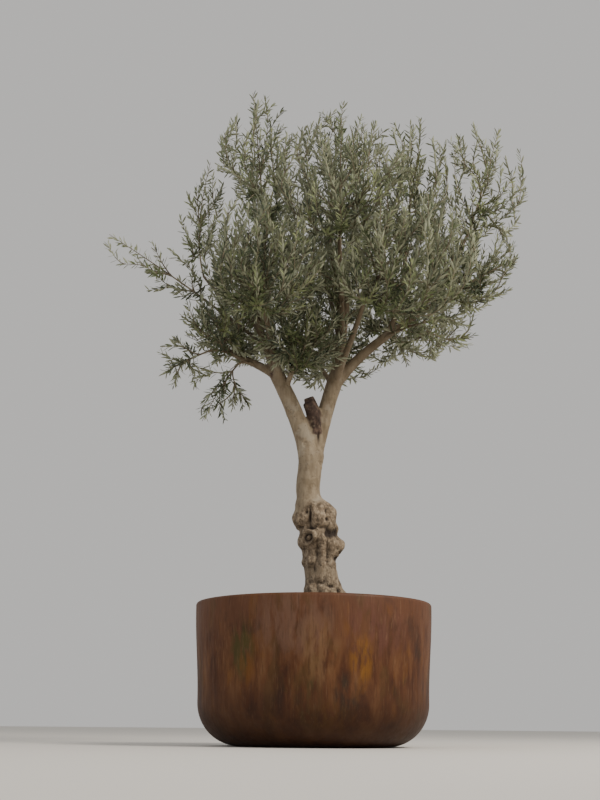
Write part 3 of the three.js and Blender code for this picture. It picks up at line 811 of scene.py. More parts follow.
BACK_LUMPS = [
    (-20, 700, 12, 46, -12),
    (24, 730, 22, 26, 10),
    (64, 700, 12, 42, -12),
    (-66, 1112, 28, 26, 12),
    (6, 1164, 30, 24, 11),
    (70, 1124, 24, 34, 12),
    (-4, 1122, 20, 15, 10),
    (-32, 1142, 9, 26, -12),
    (38, 1122, 8, 30, -13),
    (2, 1142, 26, 7, -9),
    (-50, 1080, 26, 8, -9),
    (40, 1088, 30, 8, -11),
    (60, 1010, 26, 24, -15),
    (0, 960, 12, 90, 12),
    (30, 940, 9, 80, -9),
    (-50, 930, 14, 70, 10),
    (60, 800, 24, 24, 13),
    (-10, 790, 24, 22, 12),
    (26, 800, 8, 30, -11),
]
LUMPS = [(FRONT, *row) for row in FRONT_LUMPS] + [(BACK, *row) for row in BACK_LUMPS]
# Side, sideways place, height, radius, rise of its ring and depth of its groove
KNOTS = [
    (FRONT, -33, 1031, 30, 9, 17),
    (FRONT, -87, 1601, 16, 2, 4),
    (FRONT, -50, 1530, 17, 2, 4),
    (FRONT, 36, 1431, 14, 2, 4),
    (FRONT, -6, 1307, 13, 2, 3),
    (FRONT, -126, 1705, 18, 3, 4),
    (FRONT, 62, 1330, 13, 2, 3),
    (BACK, -40, 1030, 31, 9, 16),
    (BACK, -10, 1480, 17, 2, 4),
    (BACK, 20, 1360, 14, 2, 3),
]
# Place and radius of each pruned or dead face
PRUNED = [
    ((-36, -16, 1804), 50),
    ((-24, -12, 1758), 54),
    ((-10, -12, 1710), 54),
    ((3, -10, 1664), 46),
    ((12, -18, 1618), 34),
    ((-245, -85, 1896), 30),
]
FACING_DEPTH = 50
LUMP_REACH = 3
# Where a knot's ring and groove lie and how wide they are, as shares of its radius, and the eyelid's share
RING_AT, RING_WIDTH = 1.15, 0.3
GROOVE_AT, GROOVE_WIDTH = 0.6, 0.24
LID_SHARE = 0.25


def facing(side, y):
    """How much of a side's lumps shows at a depth from the trunk's middle."""
    return min(max(0.5 + side * y / FACING_DEPTH, 0), 1)


def lump_rise(place, side, x, height, wide, tall, rise):
    """A soft lump or pocket with its own width and height."""
    fading = ((place[0] - x) / wide) ** 2 + ((place[2] - height) / tall) ** 2
    return rise * facing(side, place[1]) * math.exp(-fading) if fading < LUMP_REACH ** 2 else 0.0


def knot_rise(place, side, x, height, radius, rise, depth):
    """A ring of healed bark round a grooved ball, with a deeper groove over it like an eyelid."""
    share = math.hypot(place[0] - x, place[2] - height) / radius
    lid = 1 - LID_SHARE + LID_SHARE * max(-1, min((place[2] - height) / radius, 1))
    ring = rise * math.exp(-((share - RING_AT) / RING_WIDTH) ** 2)
    groove = lid * depth * math.exp(-((share - GROOVE_AT) / GROOVE_WIDTH) ** 2)
    return (ring - groove) * facing(side, place[1]) if share < LUMP_REACH else 0.0


# %% Moving the bark in and out
OLD_BARK_FOOT = (840, 900)
FOOT_BARK_TOP = (800, 900)
# Where the burr's bark ends: height, slope to the side, wander up and down, and half the width of its edge
OLD_BARK_TOP = 1212
EDGE_SLOPE = 0.5
EDGE_WANDER = 35
EDGE_WIDTH = 18
# The layers' heights on old bark
LUMP_RISE = 2.5
RIB_RISE = 3
SPLIT_DEPTH = 4
SPLIT_WIDTH = 0.1
OLD_SKIN_RISE = 1.4
# The layers' heights everywhere
SKIN_RISE = 0.6
SWELL_RISE = 1.5
LUMPS_TOP = 1835
# The shares of its radius between which a pruned face ends, and how ragged its edge is
CUT_EDGE = (0.7, 1.05)
CUT_RAGGED = 12
# Depths in millimetres at which the painted shade of sunken bark starts and is full
PAINTED_SHADE_DEPTHS = (2, 11)


def grain(place, across, up, lift=0):
    """Noise whose grains are this wide and, upwards, this long, in millimetres."""
    return noise.noise(Vector((place[0] / across, place[1] / across, place[2] / up + lift)))


def bark_rise(place):
    """How far the bark stands out at a place in millimetres, and how old it is from 0 to 1."""
    x, _, z = place
    edge = OLD_BARK_TOP + EDGE_SLOPE * x + EDGE_WANDER * grain(place, 45, 45)
    below_edge = 1 - smoothstep(z, edge - EDGE_WIDTH, edge + EDGE_WIDTH)
    old = float(smoothstep(z, *OLD_BARK_FOOT) * below_edge)
    on_foot = float(1 - smoothstep(z, *FOOT_BARK_TOP))
    splits = max(0, 1 - abs(grain(place, 17, 55, 5)) / SPLIT_WIDTH)
    ribs = (1 + on_foot) * grain(place, 20, 150)
    rise = (old + on_foot) * (LUMP_RISE * grain(place, 34, 34) + RIB_RISE * ribs - SPLIT_DEPTH * splits)
    rise += (SKIN_RISE + OLD_SKIN_RISE * old) * grain(place, 11, 30) + SWELL_RISE * grain(place, 70, 70)
    if z < LUMPS_TOP:
        rise += sum(lump_rise(place, *lump) for lump in LUMPS)
        rise += sum(knot_rise(place, *knot) for knot in KNOTS)
    return rise, max(old, on_foot)


def read_floats(piece, kind, count):
    values = np.empty(len(piece.data.vertices) * count)
    piece.data.vertices.foreach_get(kind, values)
    return values.reshape(-1, count)


def cut_share(place):
    """How much of a pruned or dead face is at a place, with a ragged edge."""
    ragged = CUT_RAGGED * grain(place, 14, 14)
    return max(1 - smoothstep(math.dist(place, middle) + ragged, *(edge * size for edge in CUT_EDGE))
               for middle, size in PRUNED)


def carve_bark(piece):
    """Moves the corners along their normals and stores the three attributes."""
    places = read_floats(piece, "co", 3) / METRES
    normals = read_floats(piece, "normal", 3)
    rises, ages = np.array([bark_rise(place) for place in places]).T
    cuts = np.array([cut_share(place) for place in places])
    piece.data.vertices.foreach_set("co", ((places + rises[:, None] * normals) * METRES).ravel())
    # A painted shade, the darker the deeper the bark sinks
    painted_hollow_shades = np.interp(-rises, PAINTED_SHADE_DEPTHS, [0, 1])
    for name, values in (("painted_hollow_shade", painted_hollow_shades), ("age", ages), ("cut", cuts)):
        piece.data.attributes.new(name, "FLOAT", "POINT").data.foreach_set("value", values)
    piece.data.update()
    print("bark relief:", round(rises.min(), 1), "to", round(rises.max(), 1), "mm")


carve_bark(wood)
select_only(wood)
bpy.ops.object.shade_smooth()

# %% [markdown]
# Living olive bark is a dry, matt skin: pale grey-brown on the limbs, with a few paler and darker patches,
# and browner and darker on the burr, which is cracked and pitted. Where the bark sinks in, painted shade
# makes it nearly black. Streaks run along the limb, so the noise is stretched upwards. A pruned or dead
# face is dark, weathered wood. The attributes of the skin choose between these, and the limbs darken in the
# shade of the crown.

# %% Bark finish
YOUNG = [(0.28, "6d5f4c"), (0.45, "83745e"), (0.62, "92836c"), (0.78, "a3957e")]
OLD = [(0.30, "544736"), (0.44, "7d6c57"), (0.58, "9a8972"), (0.74, "b8a88f")]
DEAD = [(0.35, "2b1e16"), (0.5, "44332a"), (0.68, "6d5848")]
PALE_PATCH, DARK_PATCH, SPECK = "a89e8c", "65563f", "4d3f30"
# The third is the painted shade of sunken bark
CRACK_SHADE, CROWN_SHADE, PAINTED_HOLLOW_SHADE = "34281c", "564a39", "2a1e14"
# Heights in metres between which the limbs darken
INTO_CROWN = (1.75, 2.05)

bark, tree = new_finish("olive_bark")
streaks = add_noise(tree, 0.022, 0.085, 5.0, 0.6)
lumps = add_noise(tree, 0.03, 0.03, 6.0, 0.65)
crack_noise = add_noise(tree, 0.016, 0.04, 3.0, distortion=0.6)
pit_noise = add_noise(tree, 0.018, 0.018, 4.0, 0.6)
patches = add_noise(tree, 0.10, 0.10, 4.0, 0.6)
height_up = add_node(tree, "ShaderNodeSeparateXYZ", {"Vector": place_in(tree)}).outputs["Z"]
age, painted_hollow_shade, cut = (add_node(tree, "ShaderNodeAttribute", attribute_name=name).outputs["Fac"]
                    for name in ("age", "painted_hollow_shade", "cut"))
from_crack = sum_of(tree, "ABSOLUTE", sum_of(tree, "SUBTRACT", crack_noise, 0.5))
cracks = share_between(tree, from_crack, 0.06, 0.0, 0.5, easing="LINEAR")
pits = share_between(tree, pit_noise, 0.55, 0.68, 0.8, easing="LINEAR")
openings = sum_of(tree, "MAXIMUM", cracks, pits)
print("nodes for the bark's parts:", len(tree.nodes))

# %% Bark from its parts
smooth = shade_by(tree, streaks, YOUNG)
smooth = lay_colour(tree, smooth, share_between(tree, patches, 0.52, 0.64, 0.45), PALE_PATCH)
smooth = lay_colour(tree, smooth, share_between(tree, patches, 0.47, 0.36, 0.45), DARK_PATCH)
smooth = lay_colour(tree, smooth, share_between(tree, pit_noise, 0.62, 0.70, 0.6), SPECK)
cracked = lay_colour(tree, shade_by(tree, lumps, OLD), openings, CRACK_SHADE)
look = lay_colour(tree, smooth, age, cracked)
shaded = share_between(tree, height_up, *INTO_CROWN, 0.6, easing="LINEAR")
look = lay_colour(tree, look, shaded, CROWN_SHADE)
# Painted shade where the bark sinks in
look = lay_colour(tree, look, painted_hollow_shade, PAINTED_HOLLOW_SHADE)
look = lay_colour(tree, look, cut, shade_by(tree, lumps, DEAD))
grain_relief = add_bump(tree, streaks, strength=0.35, distance=0.003)
old_openings = sum_of(tree, "MULTIPLY", openings, age)
set_shader(tree, {
    "Base Color": look,
    "Roughness": 0.85,
    "Normal": add_bump(tree, old_openings, strength=0.8, distance=0.004, under=grain_relief, invert=True),
})
finish_piece(wood, "trunk_and_great_boughs", bark)
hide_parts("trunk", *(f"bough_{name}" for name in great_names))

# %% Finer boughs
select_only(*finer)
bpy.ops.object.join()
fine_wood = bpy.context.object
bpy.ops.object.transform_apply()
carve_bark(fine_wood)
bpy.ops.object.shade_smooth()
finish_piece(fine_wood, "finer_boughs", bark)
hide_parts(*(f"bough_{name}" for name in finer_names))

# %% [markdown]
# ## The crown's spaces
# Each mass of foliage keeps to its own ellipsoid, and a flat wall parts it from each neighbour. That gives
# the crown's outline, and leaves the sky between masses where the tree is open.

# %% Masses
# Name, middle, half sizes, seed, tilt in degrees, how full it is, and how upright its shoots grow
MASSES = [
    ("top_left", [-320, -40, 3080], [265, 350, 510], 49, 0, 0.75, 1.0),
    ("top_mid", [110, 20, 3070], [290, 350, 500], 16, 0, 0.85, 1.0),
    ("top_right", [520, -20, 2990], [290, 370, 450], 47, 0, 0.9, 1.0),
    ("far_right", [925, 0, 3010], [275, 320, 445], 14, 0, 0.5, 1.0),
    ("top_back", [90, 540, 2890], [460, 330, 400], 32, 0, 0.7, 1.0),
    ("top_front", [120, -540, 2790], [460, 320, 370], 17, 0, 0.9, 1.0),
    ("mid_left", [-330, -20, 2520], [310, 350, 330], 42, 0, 1.2, 0.8),
    ("mid", [110, 0, 2520], [310, 300, 330], 34, 0, 1.4, 0.8),
    ("right_side", [800, 0, 2570], [335, 380, 300], 54, 0, 1.2, 0.6),
    ("front_left", [-250, -520, 2400], [360, 330, 370], 33, 0, 1.35, 0.8),
    ("front_right", [430, -520, 2420], [430, 330, 370], 32, 0, 1.35, 0.8),
    ("back_left", [-300, 540, 2500], [380, 340, 380], 10, 0, 0.9, 0.8),
    ("back_right", [500, 560, 2520], [440, 340, 390], 43, 0, 0.9, 0.8),
    ("low_mid", [-90, -170, 2090], [330, 310, 220], 52, 0, 2.3, 0.2),
    ("low_left", [-500, -70, 2150], [300, 320, 210], 56, 0, 1.7, 0.2),
    ("low_right", [610, 0, 2230], [330, 350, 200], 2, 0, 0.55, 0.3),
    ("low_back", [60, 430, 2190], [370, 300, 230], 56, 0, 1.1, 0.4),
    ("left_arm", [-850, -30, 2510], [400, 150, 150], 44, 27, 0.45, 0.6),
    ("left_shoots", [-610, 30, 2890], [150, 190, 430], 14, 16, 0.6, 1.0),
    ("hanging", [-690, -70, 1970], [180, 190, 170], 50, 0, 0.5, -0.4),
    ("drooping", [-500, -120, 1790], [200, 160, 185], 22, 0, 0.45, -0.8),
]
MARGIN = 1.5


def space_of(middle, half, tilt):
    """An ellipsoid with its three axes and no walls yet."""
    angle = math.radians(tilt)
    axes = np.array([
        [-math.cos(angle), 0, math.sin(angle)],
        [0, 1, 0],
        [math.sin(angle), 0, math.cos(angle)],
    ])
    return {"middle": np.array(middle, float), "half": np.array(half, float), "axes": axes, "walls": []}


def at_shares(space, shares):
    """Points at shares from -1 to 1 of a space's three axes."""
    return space["middle"] + (shares * space["half"]) @ space["axes"]


def reach_towards(space, way):
    return np.linalg.norm(space["half"] * (space["axes"] @ way))


def part_spaces(one, other):
    """Puts a flat wall between two spaces where their reaches meet in proportion."""
    way = other["middle"] - one["middle"]
    apart = np.linalg.norm(way)
    way = way / apart
    share = reach_towards(one, way) / (reach_towards(one, way) + reach_towards(other, way))
    one["walls"].append((way, apart * share - MARGIN / 2))
    other["walls"].append((-way, apart * (1 - share) - MARGIN / 2))


def inside(space, points, share=1.0):
    """Whether each point lies in the space, or in a share of it."""
    offsets = np.atleast_2d(points) - space["middle"]
    held = np.linalg.norm(offsets @ space["axes"].T / (share * space["half"]), axis=1) <= 1
    for way, limit in space["walls"]:
        held &= offsets @ way <= limit
    return held


spaces = {row[0]: space_of(row[1], row[2], row[4]) for row in MASSES}
names = list(spaces)
for i, name in enumerate(names):
    for other in names[i + 1:]:
        part_spaces(spaces[name], spaces[other])
print("spaces:", len(spaces))

# %% [markdown]
# ## The growth rule
# A mass grows from the tip of its bough. Tips are scattered evenly through the space, the first at its far
# end, and one twig runs to each: the stem first, then the others, each from the place on an earlier twig
# that costs the least way and turning. What would leave the space or touch a limb is skipped.

# %% Seeded numbers and clearance
CLEARANCE_STEPS = 8
NO_LIMB = ""


def random_from(seed):
    """Numbers from 0 to 1 that are the same list for the same seed."""
    state = (seed * 2654435761) % 2 ** 32
    while True:
        state = (state * 1664525 + 1013904223) % 2 ** 32
        yield state / 2 ** 32


limb_starts, limb_ends, limb_radii, limb_names = [], [], [], []
for name, limb in limbs.items():
    points = along(limb["line"], np.linspace(0, 1, CLEARANCE_STEPS + 1))
    for step in range(CLEARANCE_STEPS):
        limb_starts.append(points[step])
        limb_ends.append(points[step + 1])
        limb_radii.append(np.interp(step / CLEARANCE_STEPS, [0, 1], limb["radii"]))
        limb_names.append(name)
limb_starts = np.array(limb_starts)
limb_spans = np.array(limb_ends) - limb_starts
limb_radii = np.array(limb_radii)
limb_names = np.array(limb_names)


def clear_of_limbs(points, thickness, own=NO_LIMB):
    """Whether each point is clear of all limbs but its own."""
    points = np.atleast_2d(points)
    offset = points[:, None] - limb_starts[None]
    share = np.clip((offset * limb_spans).sum(-1) / (limb_spans ** 2).sum(-1), 0, 1)
    distance = np.linalg.norm(offset - share[..., None] * limb_spans, axis=-1)
    return ((distance > limb_radii + thickness + MARGIN) | (limb_names == own)).all(axis=1)


print("straight lengths of limb:", len(limb_starts))

# %% Scattered tips
TWIG_COUNT = 6
TRIES = 8
TWIG_REACH = 0.96
TWIG_LIMIT = 0.97
FAR_STEP = 0.02


def far_end(space, point):
    """The edge of a space straight across its middle from a point."""
    way = unit(space["middle"] - point)
    reach = 1 / np.linalg.norm((space["axes"] @ way) / space["half"])
    share = TWIG_REACH
    while not inside(space, space["middle"] + way * share * reach)[0]:
        share -= FAR_STEP
    return space["middle"] + way * share * reach


def scatter(space, count, random, foot):
    """The far end, and then the loneliest of a few tries each time."""
    chosen = [foot, far_end(space, foot)]
    while len(chosen) < count + 1:
        best, best_apart, tries = None, -1, 0
        while tries < TRIES:
            point = at_shares(space, np.array([2 * next(random) - 1 for axis in range(3)]))
            if not inside(space, point, TWIG_REACH)[0]:
                continue
            tries += 1
            apart = np.linalg.norm(np.array(chosen) - point, axis=1).min()
            if apart > best_apart:
                best, best_apart = point, apart
        chosen.append(best)
    return chosen[1:]


# %% Twigs
TWIG_STEPS = 3
TWIG_BEND = 0.4
STEM_SHARE = 0.85
TWIG_SHARE = 0.75
TWIG_TIP_RADIUS = 5
FOOT_SHARE = 0.97
LEAST_WOOD = 0.4
SPRAY_LENGTH = 270
TWIG_LINE_STEPS = 14


def twig_to(root, way, tip, root_radius, lift=0.0):
    """A twig that sets out between its parent's way and its tip's, and bends to its tip."""
    to_tip = tip - root
    reach = np.linalg.norm(to_tip)
    bend = root + TWIG_BEND * reach * unit(unit(to_tip) + way) - lift * reach * UP
    line = bezier([root, bend, tip], TWIG_LINE_STEPS)
    wood_share = max(LEAST_WOOD, 1 - SPRAY_LENGTH / length_of(line))
    corners = along(line, wood_share * np.linspace(0, 1, TWIG_STEPS + 1))
    return {"line": line, "wood": wood_share, "corners": corners, "root_radius": root_radius}


def keeps_to_space(space, twig, own=NO_LIMB):
    """Whether a twig stays in its space and clear of the limbs."""
    held = inside(space, twig["corners"][1:], TWIG_LIMIT).all()
    points = along(twig["line"], twig["wood"] * np.linspace(0, 1, 4 * TWIG_STEPS + 1))
    return held and clear_of_limbs(points, twig["root_radius"], own).all()


def forks_of(twig):
    """The places, ways and radii at which a twig may fork."""
    forks = []
    for step in range(1, TWIG_STEPS):
        share = step / TWIG_STEPS
        radius = twig["root_radius"] + (TWIG_TIP_RADIUS - twig["root_radius"]) * share
        forks.append((twig["corners"][step], way_at(twig["line"], twig["wood"] * share), radius))
    return forks


def turning_cost(place, way, tip):
    """A longer way costs more, and so does a turn."""
    to_tip = tip - place
    reach = np.linalg.norm(to_tip)
    return reach * (2 - way @ to_tip / reach)


def grow_twigs(name, seed):
    """The stem and the main twigs of a mass."""
    space, bough = spaces[name], limbs[name]
    random = random_from(seed)
    tip_way = way_at(bough["line"], FOOT_SHARE)
    foot = bough["line"][-1] + GAP * tip_way
    tips = scatter(space, TWIG_COUNT, random, foot)
    tips.sort(key=lambda tip: np.linalg.norm(tip - foot))
    stems = [twig_to(foot, tip_way, tip, STEM_SHARE * bough["radii"][1]) for tip in tips]
    fitting = [i for i, stem in enumerate(stems) if keeps_to_space(space, stem, name)]
    twigs = [stems[fitting[-1]]]
    for tip in tips[:fitting[-1]] + tips[fitting[-1] + 1:]:
        forks = [fork for twig in twigs for fork in forks_of(twig)]
        place, way, radius = min(forks, key=lambda fork: turning_cost(fork[0], fork[1], tip))
        twig = twig_to(place, way, tip, max(TWIG_SHARE * radius, TWIG_TIP_RADIUS))
        if keeps_to_space(space, twig):
            twigs.append(twig)
    return twigs


masses = {row[0]: {"twigs": grow_twigs(row[0], row[3])} for row in MASSES}
print("main twigs:", sum(len(mass["twigs"]) for mass in masses.values()))

# %% [markdown]
# The finer growth is what the solids could not hold: leafy shoots that fill each space evenly. They follow
# the same rule, but may also leave a bough where it runs through the space, and they would rather start
# below their tip, as shoots grow up to the light. Their number comes from the volume of the space and from
# how full that part of the crown is, and they thin out to its top.

# %% Leafy shoots
SHOOTS_PER_CUBIC_METRE = 900
SHORTEST_SHOOT = 140
FAR_COST = 10000
RISING = 0.5
LIFT = 0.16
SHOOT_RADIUS = 2.8
VOLUME_SAMPLES = 4000
SHOOT_TRIES = 5
ROOT_POINTS = 2
THINNING = 0.85
POOL = 40
# Where along its line a twig, a limb and a shoot may bear a shoot
TWIG_FORKS = np.linspace(0.2, 0.9, 9)
LIMB_FORKS = np.linspace(0.3, 0.95, 9)
SHOOT_FORKS = (0.35, 0.6, 0.8)
BOX_ROOM = 40


def near_box(points):
    """Which points stay within the solids' box, with a little room."""
    lowest, highest = (np.array(end) / METRES for end in cad_box)
    return ((points > lowest - BOX_ROOM) & (points < highest + BOX_ROOM)).all(axis=-1)


def volume_of(space, random):
    """Volume in cubic metres, by counting random places that fall inside."""
    points = at_shares(space, random.uniform(-1, 1, (VOLUME_SAMPLES, 3)))
    return 8 * np.prod(space["half"] * METRES) * inside(space, points).mean()


def shoot_tips(space, count, thinning, random):
    """Tips spread through a space and thinner to its top, each the loneliest of a few."""
    points = at_shares(space, random.uniform(-1, 1, (POOL * count, 3)))
    points = points[inside(space, points, TWIG_REACH)]
    above = np.clip((points[:, 2] - space["middle"][2]) / space["half"][2], 0, 1)
    points = points[random.random(len(points)) > thinning * above]
    chosen = points[:1]
    for start in range(1, min(count * SHOOT_TRIES, len(points) - SHOOT_TRIES), SHOOT_TRIES):
        tries = points[start:start + SHOOT_TRIES]
        apart = np.linalg.norm(tries[:, None] - chosen[None], axis=-1).min(axis=1)
        chosen = np.vstack([chosen, tries[apart.argmax()]])
    return chosen


def grow_shoots(name, fullness, upright):
    """Finer shoots on a mass's twigs, each from the place that costs the least, and best from below."""
    space = spaces[name]
    random = np.random.default_rng(WOOD_SEED + names.index(name))
    twigs = masses[name]["twigs"]
    count = round(fullness * SHOOTS_PER_CUBIC_METRE * volume_of(space, random))
    places, ways, owners = [], [], []

    def add_forks(line, shares, owner):
        for share in shares:
            place = along(line, share)
            if owner == NO_LIMB or inside(space, place)[0]:
                places.append(place)
                ways.append(way_at(line, share))
                owners.append(owner)

    for twig in twigs:
        add_forks(twig["line"], TWIG_FORKS, NO_LIMB)
    for limb_name, limb in limbs.items():
        add_forks(limb["line"], LIMB_FORKS, limb_name)
    shoots = []
    foot = twigs[0]["line"][0]
    tips = shoot_tips(space, count, THINNING * max(upright, 0), random)
    for tip in tips[np.linalg.norm(tips - foot, axis=1).argsort()]:
        to_tip = tip - np.array(places)
        reach = np.linalg.norm(to_tip, axis=1)
        cost = reach * (2 - (np.array(ways) * to_tip).sum(1) / reach) - RISING * upright * to_tip[:, 2]
        cost[reach < SHORTEST_SHOOT] += FAR_COST
        best = cost.argmin()
        shoot = twig_to(places[best], ways[best], tip, SHOOT_RADIUS, LIFT * upright)
        points = shoot["line"][ROOT_POINTS:]
        clear = clear_of_limbs(points, SHOOT_RADIUS, owners[best]).all()
        if inside(space, points, TWIG_LIMIT).all() and near_box(points).all() and clear:
            shoots.append(shoot)
            add_forks(shoot["line"], SHOOT_FORKS, NO_LIMB)
    return shoots


for name, *_, fullness, upright in MASSES:
    masses[name]["shoots"] = grow_shoots(name, fullness, upright)
print("leafy shoots:", sum(len(mass["shoots"]) for mass in masses.values()))

# %% [markdown]
# ## Twigs and shoots as one mesh
# Thousands of thin tubes are best made as arrays: every tube has the same number of rings and sides, so all
# corners come from one product of its line, its radii and a ring of directions. Each ends in a point.


# %% Tubes from arrays
STEEP = 0.8


def tubes(lines, radii, sides):
    """Corners and triangles of many tapering tubes, whose lines have equally many points."""
    count, rings, _ = lines.shape
    ways = unit(np.gradient(lines, axis=1))
    rises = np.abs(ways.mean(axis=1, keepdims=True)[..., 2:3])
    helper = np.where(rises < STEEP, UP, np.array([1.0, 0.0, 0.0]))
    across = unit(np.cross(ways, helper))
    over = np.cross(ways, across)
    angles = 2 * math.pi * np.arange(sides) / sides
    spokes = across[:, :, None] * np.cos(angles)[:, None] + over[:, :, None] * np.sin(angles)[:, None]
    rims = lines[:, :, None] + spokes * radii[:, :, None, None]
    poles = lines[:, [0, -1]]
    corners = np.concatenate([rims.reshape(count, rings * sides, 3), poles], axis=1)
    faces = []
    root_pole, tip_pole = rings * sides, rings * sides + 1
    for side in range(sides):
        follow = (side + 1) % sides
        faces.append((root_pole, follow, side))
        faces.append((tip_pole, (rings - 1) * sides + side, (rings - 1) * sides + follow))
        for ring in range(rings - 1):
            a, b = ring * sides + side, ring * sides + follow
            faces += [(a, b, b + sides), (a, b + sides, a + sides)]
    return corners.reshape(-1, 3), repeat_faces(faces, rings * sides + 2, count)


# %% Twig piece
TWIG_RINGS = 10
TWIG_SIDES = 6
SHOOT_RINGS = 6
SHOOT_SIDES = 3
TIP_RADIUS = 1.2
TWIG_TAPER = 0.8


def all_tubes(kind, rings, sides, taper):
    """Tubes along all twigs or all shoots of the crown."""
    grown = [twig for mass in masses.values() for twig in mass[kind]]
    shares = np.linspace(0, 1, rings)
    lines = np.array([along(twig["line"], shares) for twig in grown])
    roots = np.array([[twig["root_radius"]] for twig in grown])
    return tubes(lines, roots + (TIP_RADIUS - roots) * shares ** taper, sides)


twig_corners, twig_faces = all_tubes("twigs", TWIG_RINGS, TWIG_SIDES, TWIG_TAPER)
shoot_corners, shoot_faces = all_tubes("shoots", SHOOT_RINGS, SHOOT_SIDES, 1)
twigs = mesh_piece(
    "twigs", np.vstack([twig_corners, shoot_corners]),
    np.vstack([twig_faces, shoot_faces + len(twig_corners)]))
select_only(twigs)
bpy.ops.object.shade_smooth()

young_bark, tree = new_finish("young_olive_twig")
mottle = add_noise(tree, 0.05, 0.05, 3.0)
set_shader(tree, {
    "Base Color": shade_by(tree, mottle, [(0.35, "5b5040"), (0.65, "8a7f68")]),
    "Roughness": 0.8,
})
finish_piece(twigs, "twigs", young_bark)
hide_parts(*(f"foliage_{name}" for name in names))

# %% [markdown]
# ## The leaves
# An olive leaf is a narrow blade about 55 mm long, dull green above and silvery below. Leaves stand in
# pairs, and each pair is turned a quarter from the last. A leaf here is a closed blade of twelve triangles,
# flat above and keeled below, so that its two faces can have their own finish.

# %% Leaves on a shoot
PAIR_SPACING = 17
LEAFY_LENGTH = 380
BARE_SHARE = 0.1
LEAF_SPAN = 0.02
LEAF_LENGTH = 54
LEAF_WIDTH = 11.5
# How leaves lean out and how long they are, by their way back from the shoot's tip
LEANS = ([0, 150], [25, 56])
LENGTHS = ([0, 60, 300], [0.7, 1.0, 0.9])
# How much leaves differ
SPACING_SPREAD = 0.3
TURN_SPREAD = 0.25
LEAN_SPREAD = 0.24
TWIST_SPREAD = 0.45
LENGTH_SPREAD = (0.78, 1.12)
# A fixed way, from which the turns round a shoot are measured
BESIDE_SHOOT = np.array([0.3, 0.9, 0.2])


def leaves_on(line, random, tone):
    """Roots, ways, up ways, lengths and tones of the leaves on a shoot, from its tip back."""
    length = length_of(line)
    leafy = min(LEAFY_LENGTH, length * (1 - BARE_SHARE))
    count = max(2, int(leafy / PAIR_SPACING))
    back = (np.arange(count) + SPACING_SPREAD * random.random(count)) * PAIR_SPACING
    shares = np.clip(1 - back / length, 0, 1)
    roots = along(line, shares)
    ways = unit(along(line, np.clip(shares + LEAF_SPAN, 0, 1)) - along(line, shares - LEAF_SPAN))
    across = unit(np.cross(ways, BESIDE_SHOOT))
    over = np.cross(ways, across)
    turn = random.uniform(0, math.pi) + math.pi / 2 * np.arange(count) + random.normal(0, TURN_SPREAD, count)
    out = across * np.cos(turn)[:, None] + over * np.sin(turn)[:, None]
    lean = np.radians(np.interp(back, *LEANS))
    found = []
    for side in (1, -1):
        spread = (lean + random.normal(0, LEAN_SPREAD, count))[:, None]
        leaf_ways = ways * np.cos(spread) + side * out * np.sin(spread)
        leaf_ups = ways * np.sin(spread) - side * out * np.cos(spread)
        twist = random.normal(0, TWIST_SPREAD, count)[:, None]
        leaf_ups = leaf_ups * np.cos(twist) + np.cross(leaf_ways, leaf_ups) * np.sin(twist)
        size = np.interp(back, *LENGTHS) * random.uniform(*LENGTH_SPREAD, count)
        found.append((roots, leaf_ways, leaf_ups, LEAF_LENGTH * size, np.full(count, tone)))
    return found


# %% Leaves of a mass
TONES = 4
LEAF_ROOM = 2
LEAF_SEED = WOOD_SEED + 100


def grow_leaves(name):
    """All leaves of a mass that stay in its space and clear of the limbs."""
    space = spaces[name]
    random = np.random.default_rng(LEAF_SEED + names.index(name))
    found = []
    for twig in masses[name]["twigs"] + masses[name]["shoots"]:
        found += leaves_on(twig["line"], random, random.integers(TONES))
    roots, ways, ups, lengths, tones = (np.concatenate(parts) for parts in zip(*found))
    ends = roots + ways * lengths[:, None]
    kept = inside(space, ends) & near_box(ends)
    kept &= clear_of_limbs(ends, LEAF_ROOM) & clear_of_limbs((roots + ends) / 2, LEAF_ROOM)
    return roots[kept], ways[kept], ups[kept], lengths[kept], tones[kept]


for name in names:
    masses[name]["leaves"] = grow_leaves(name)
print("leaves:", sum(len(mass["leaves"][0]) for mass in masses.values()))

# %% Blades from arrays
LEAF_THICKNESS = 1.4
# Share of the length, share of the width
BLADE_STATIONS = [(0.28, 0.85), (0.66, 0.95)]


def blades(roots, ways, ups, lengths, droops):
    """Corners and triangles of narrow leaves, and which triangles are their undersides."""
    sides = np.cross(ups, ways)
    lengths = lengths[:, None]
    widths = LEAF_WIDTH * lengths / LEAF_LENGTH
    rows = [roots]
    for share, wide in BLADE_STATIONS:
        middle = roots + ways * lengths * share - ups * droops[:, None] * lengths * share ** 2
        edge = sides * widths * wide / 2
        rows += [middle + edge, middle - edge, middle - ups * LEAF_THICKNESS]
    rows.append(roots + ways * lengths - ups * droops[:, None] * lengths)
    corners = np.stack(rows, axis=1)
    faces, under = [], []
    tip = 1 + 3 * len(BLADE_STATIONS)
    # The first of the three sides runs from edge to edge, and is the leaf's top
    for corner in range(3):
        follow = (corner + 1) % 3
        faces += [(0, 1 + follow, 1 + corner), (tip, tip - 3 + corner, tip - 3 + follow)]
        faces += [(1 + corner, 1 + follow, 4 + follow), (1 + corner, 4 + follow, 4 + corner)]
        under += [corner > 0] * 4
    return corners.reshape(-1, 3), repeat_faces(faces, tip + 1, len(roots)), np.tile(under, len(roots))


# %% [markdown]
# The upper face is a dull grey-green with a slight wax shine. The underside is covered in tiny pale scales
# that make it silvery and quite matt. No two sprays are the same green, so each shoot takes one of four
# plain tones.

# %% Leaf finishes
TOP_TONES = ["4d5638", "616b46", "7a8259", "404933"]
UNDER_TONE = "92967d"


def leaf_finish(name, shade, roughness):
    finish, tree = new_finish(name)
    set_shader(tree, {"Base Color": colour(shade), "Roughness": roughness, "IOR": 1.45})
    return finish


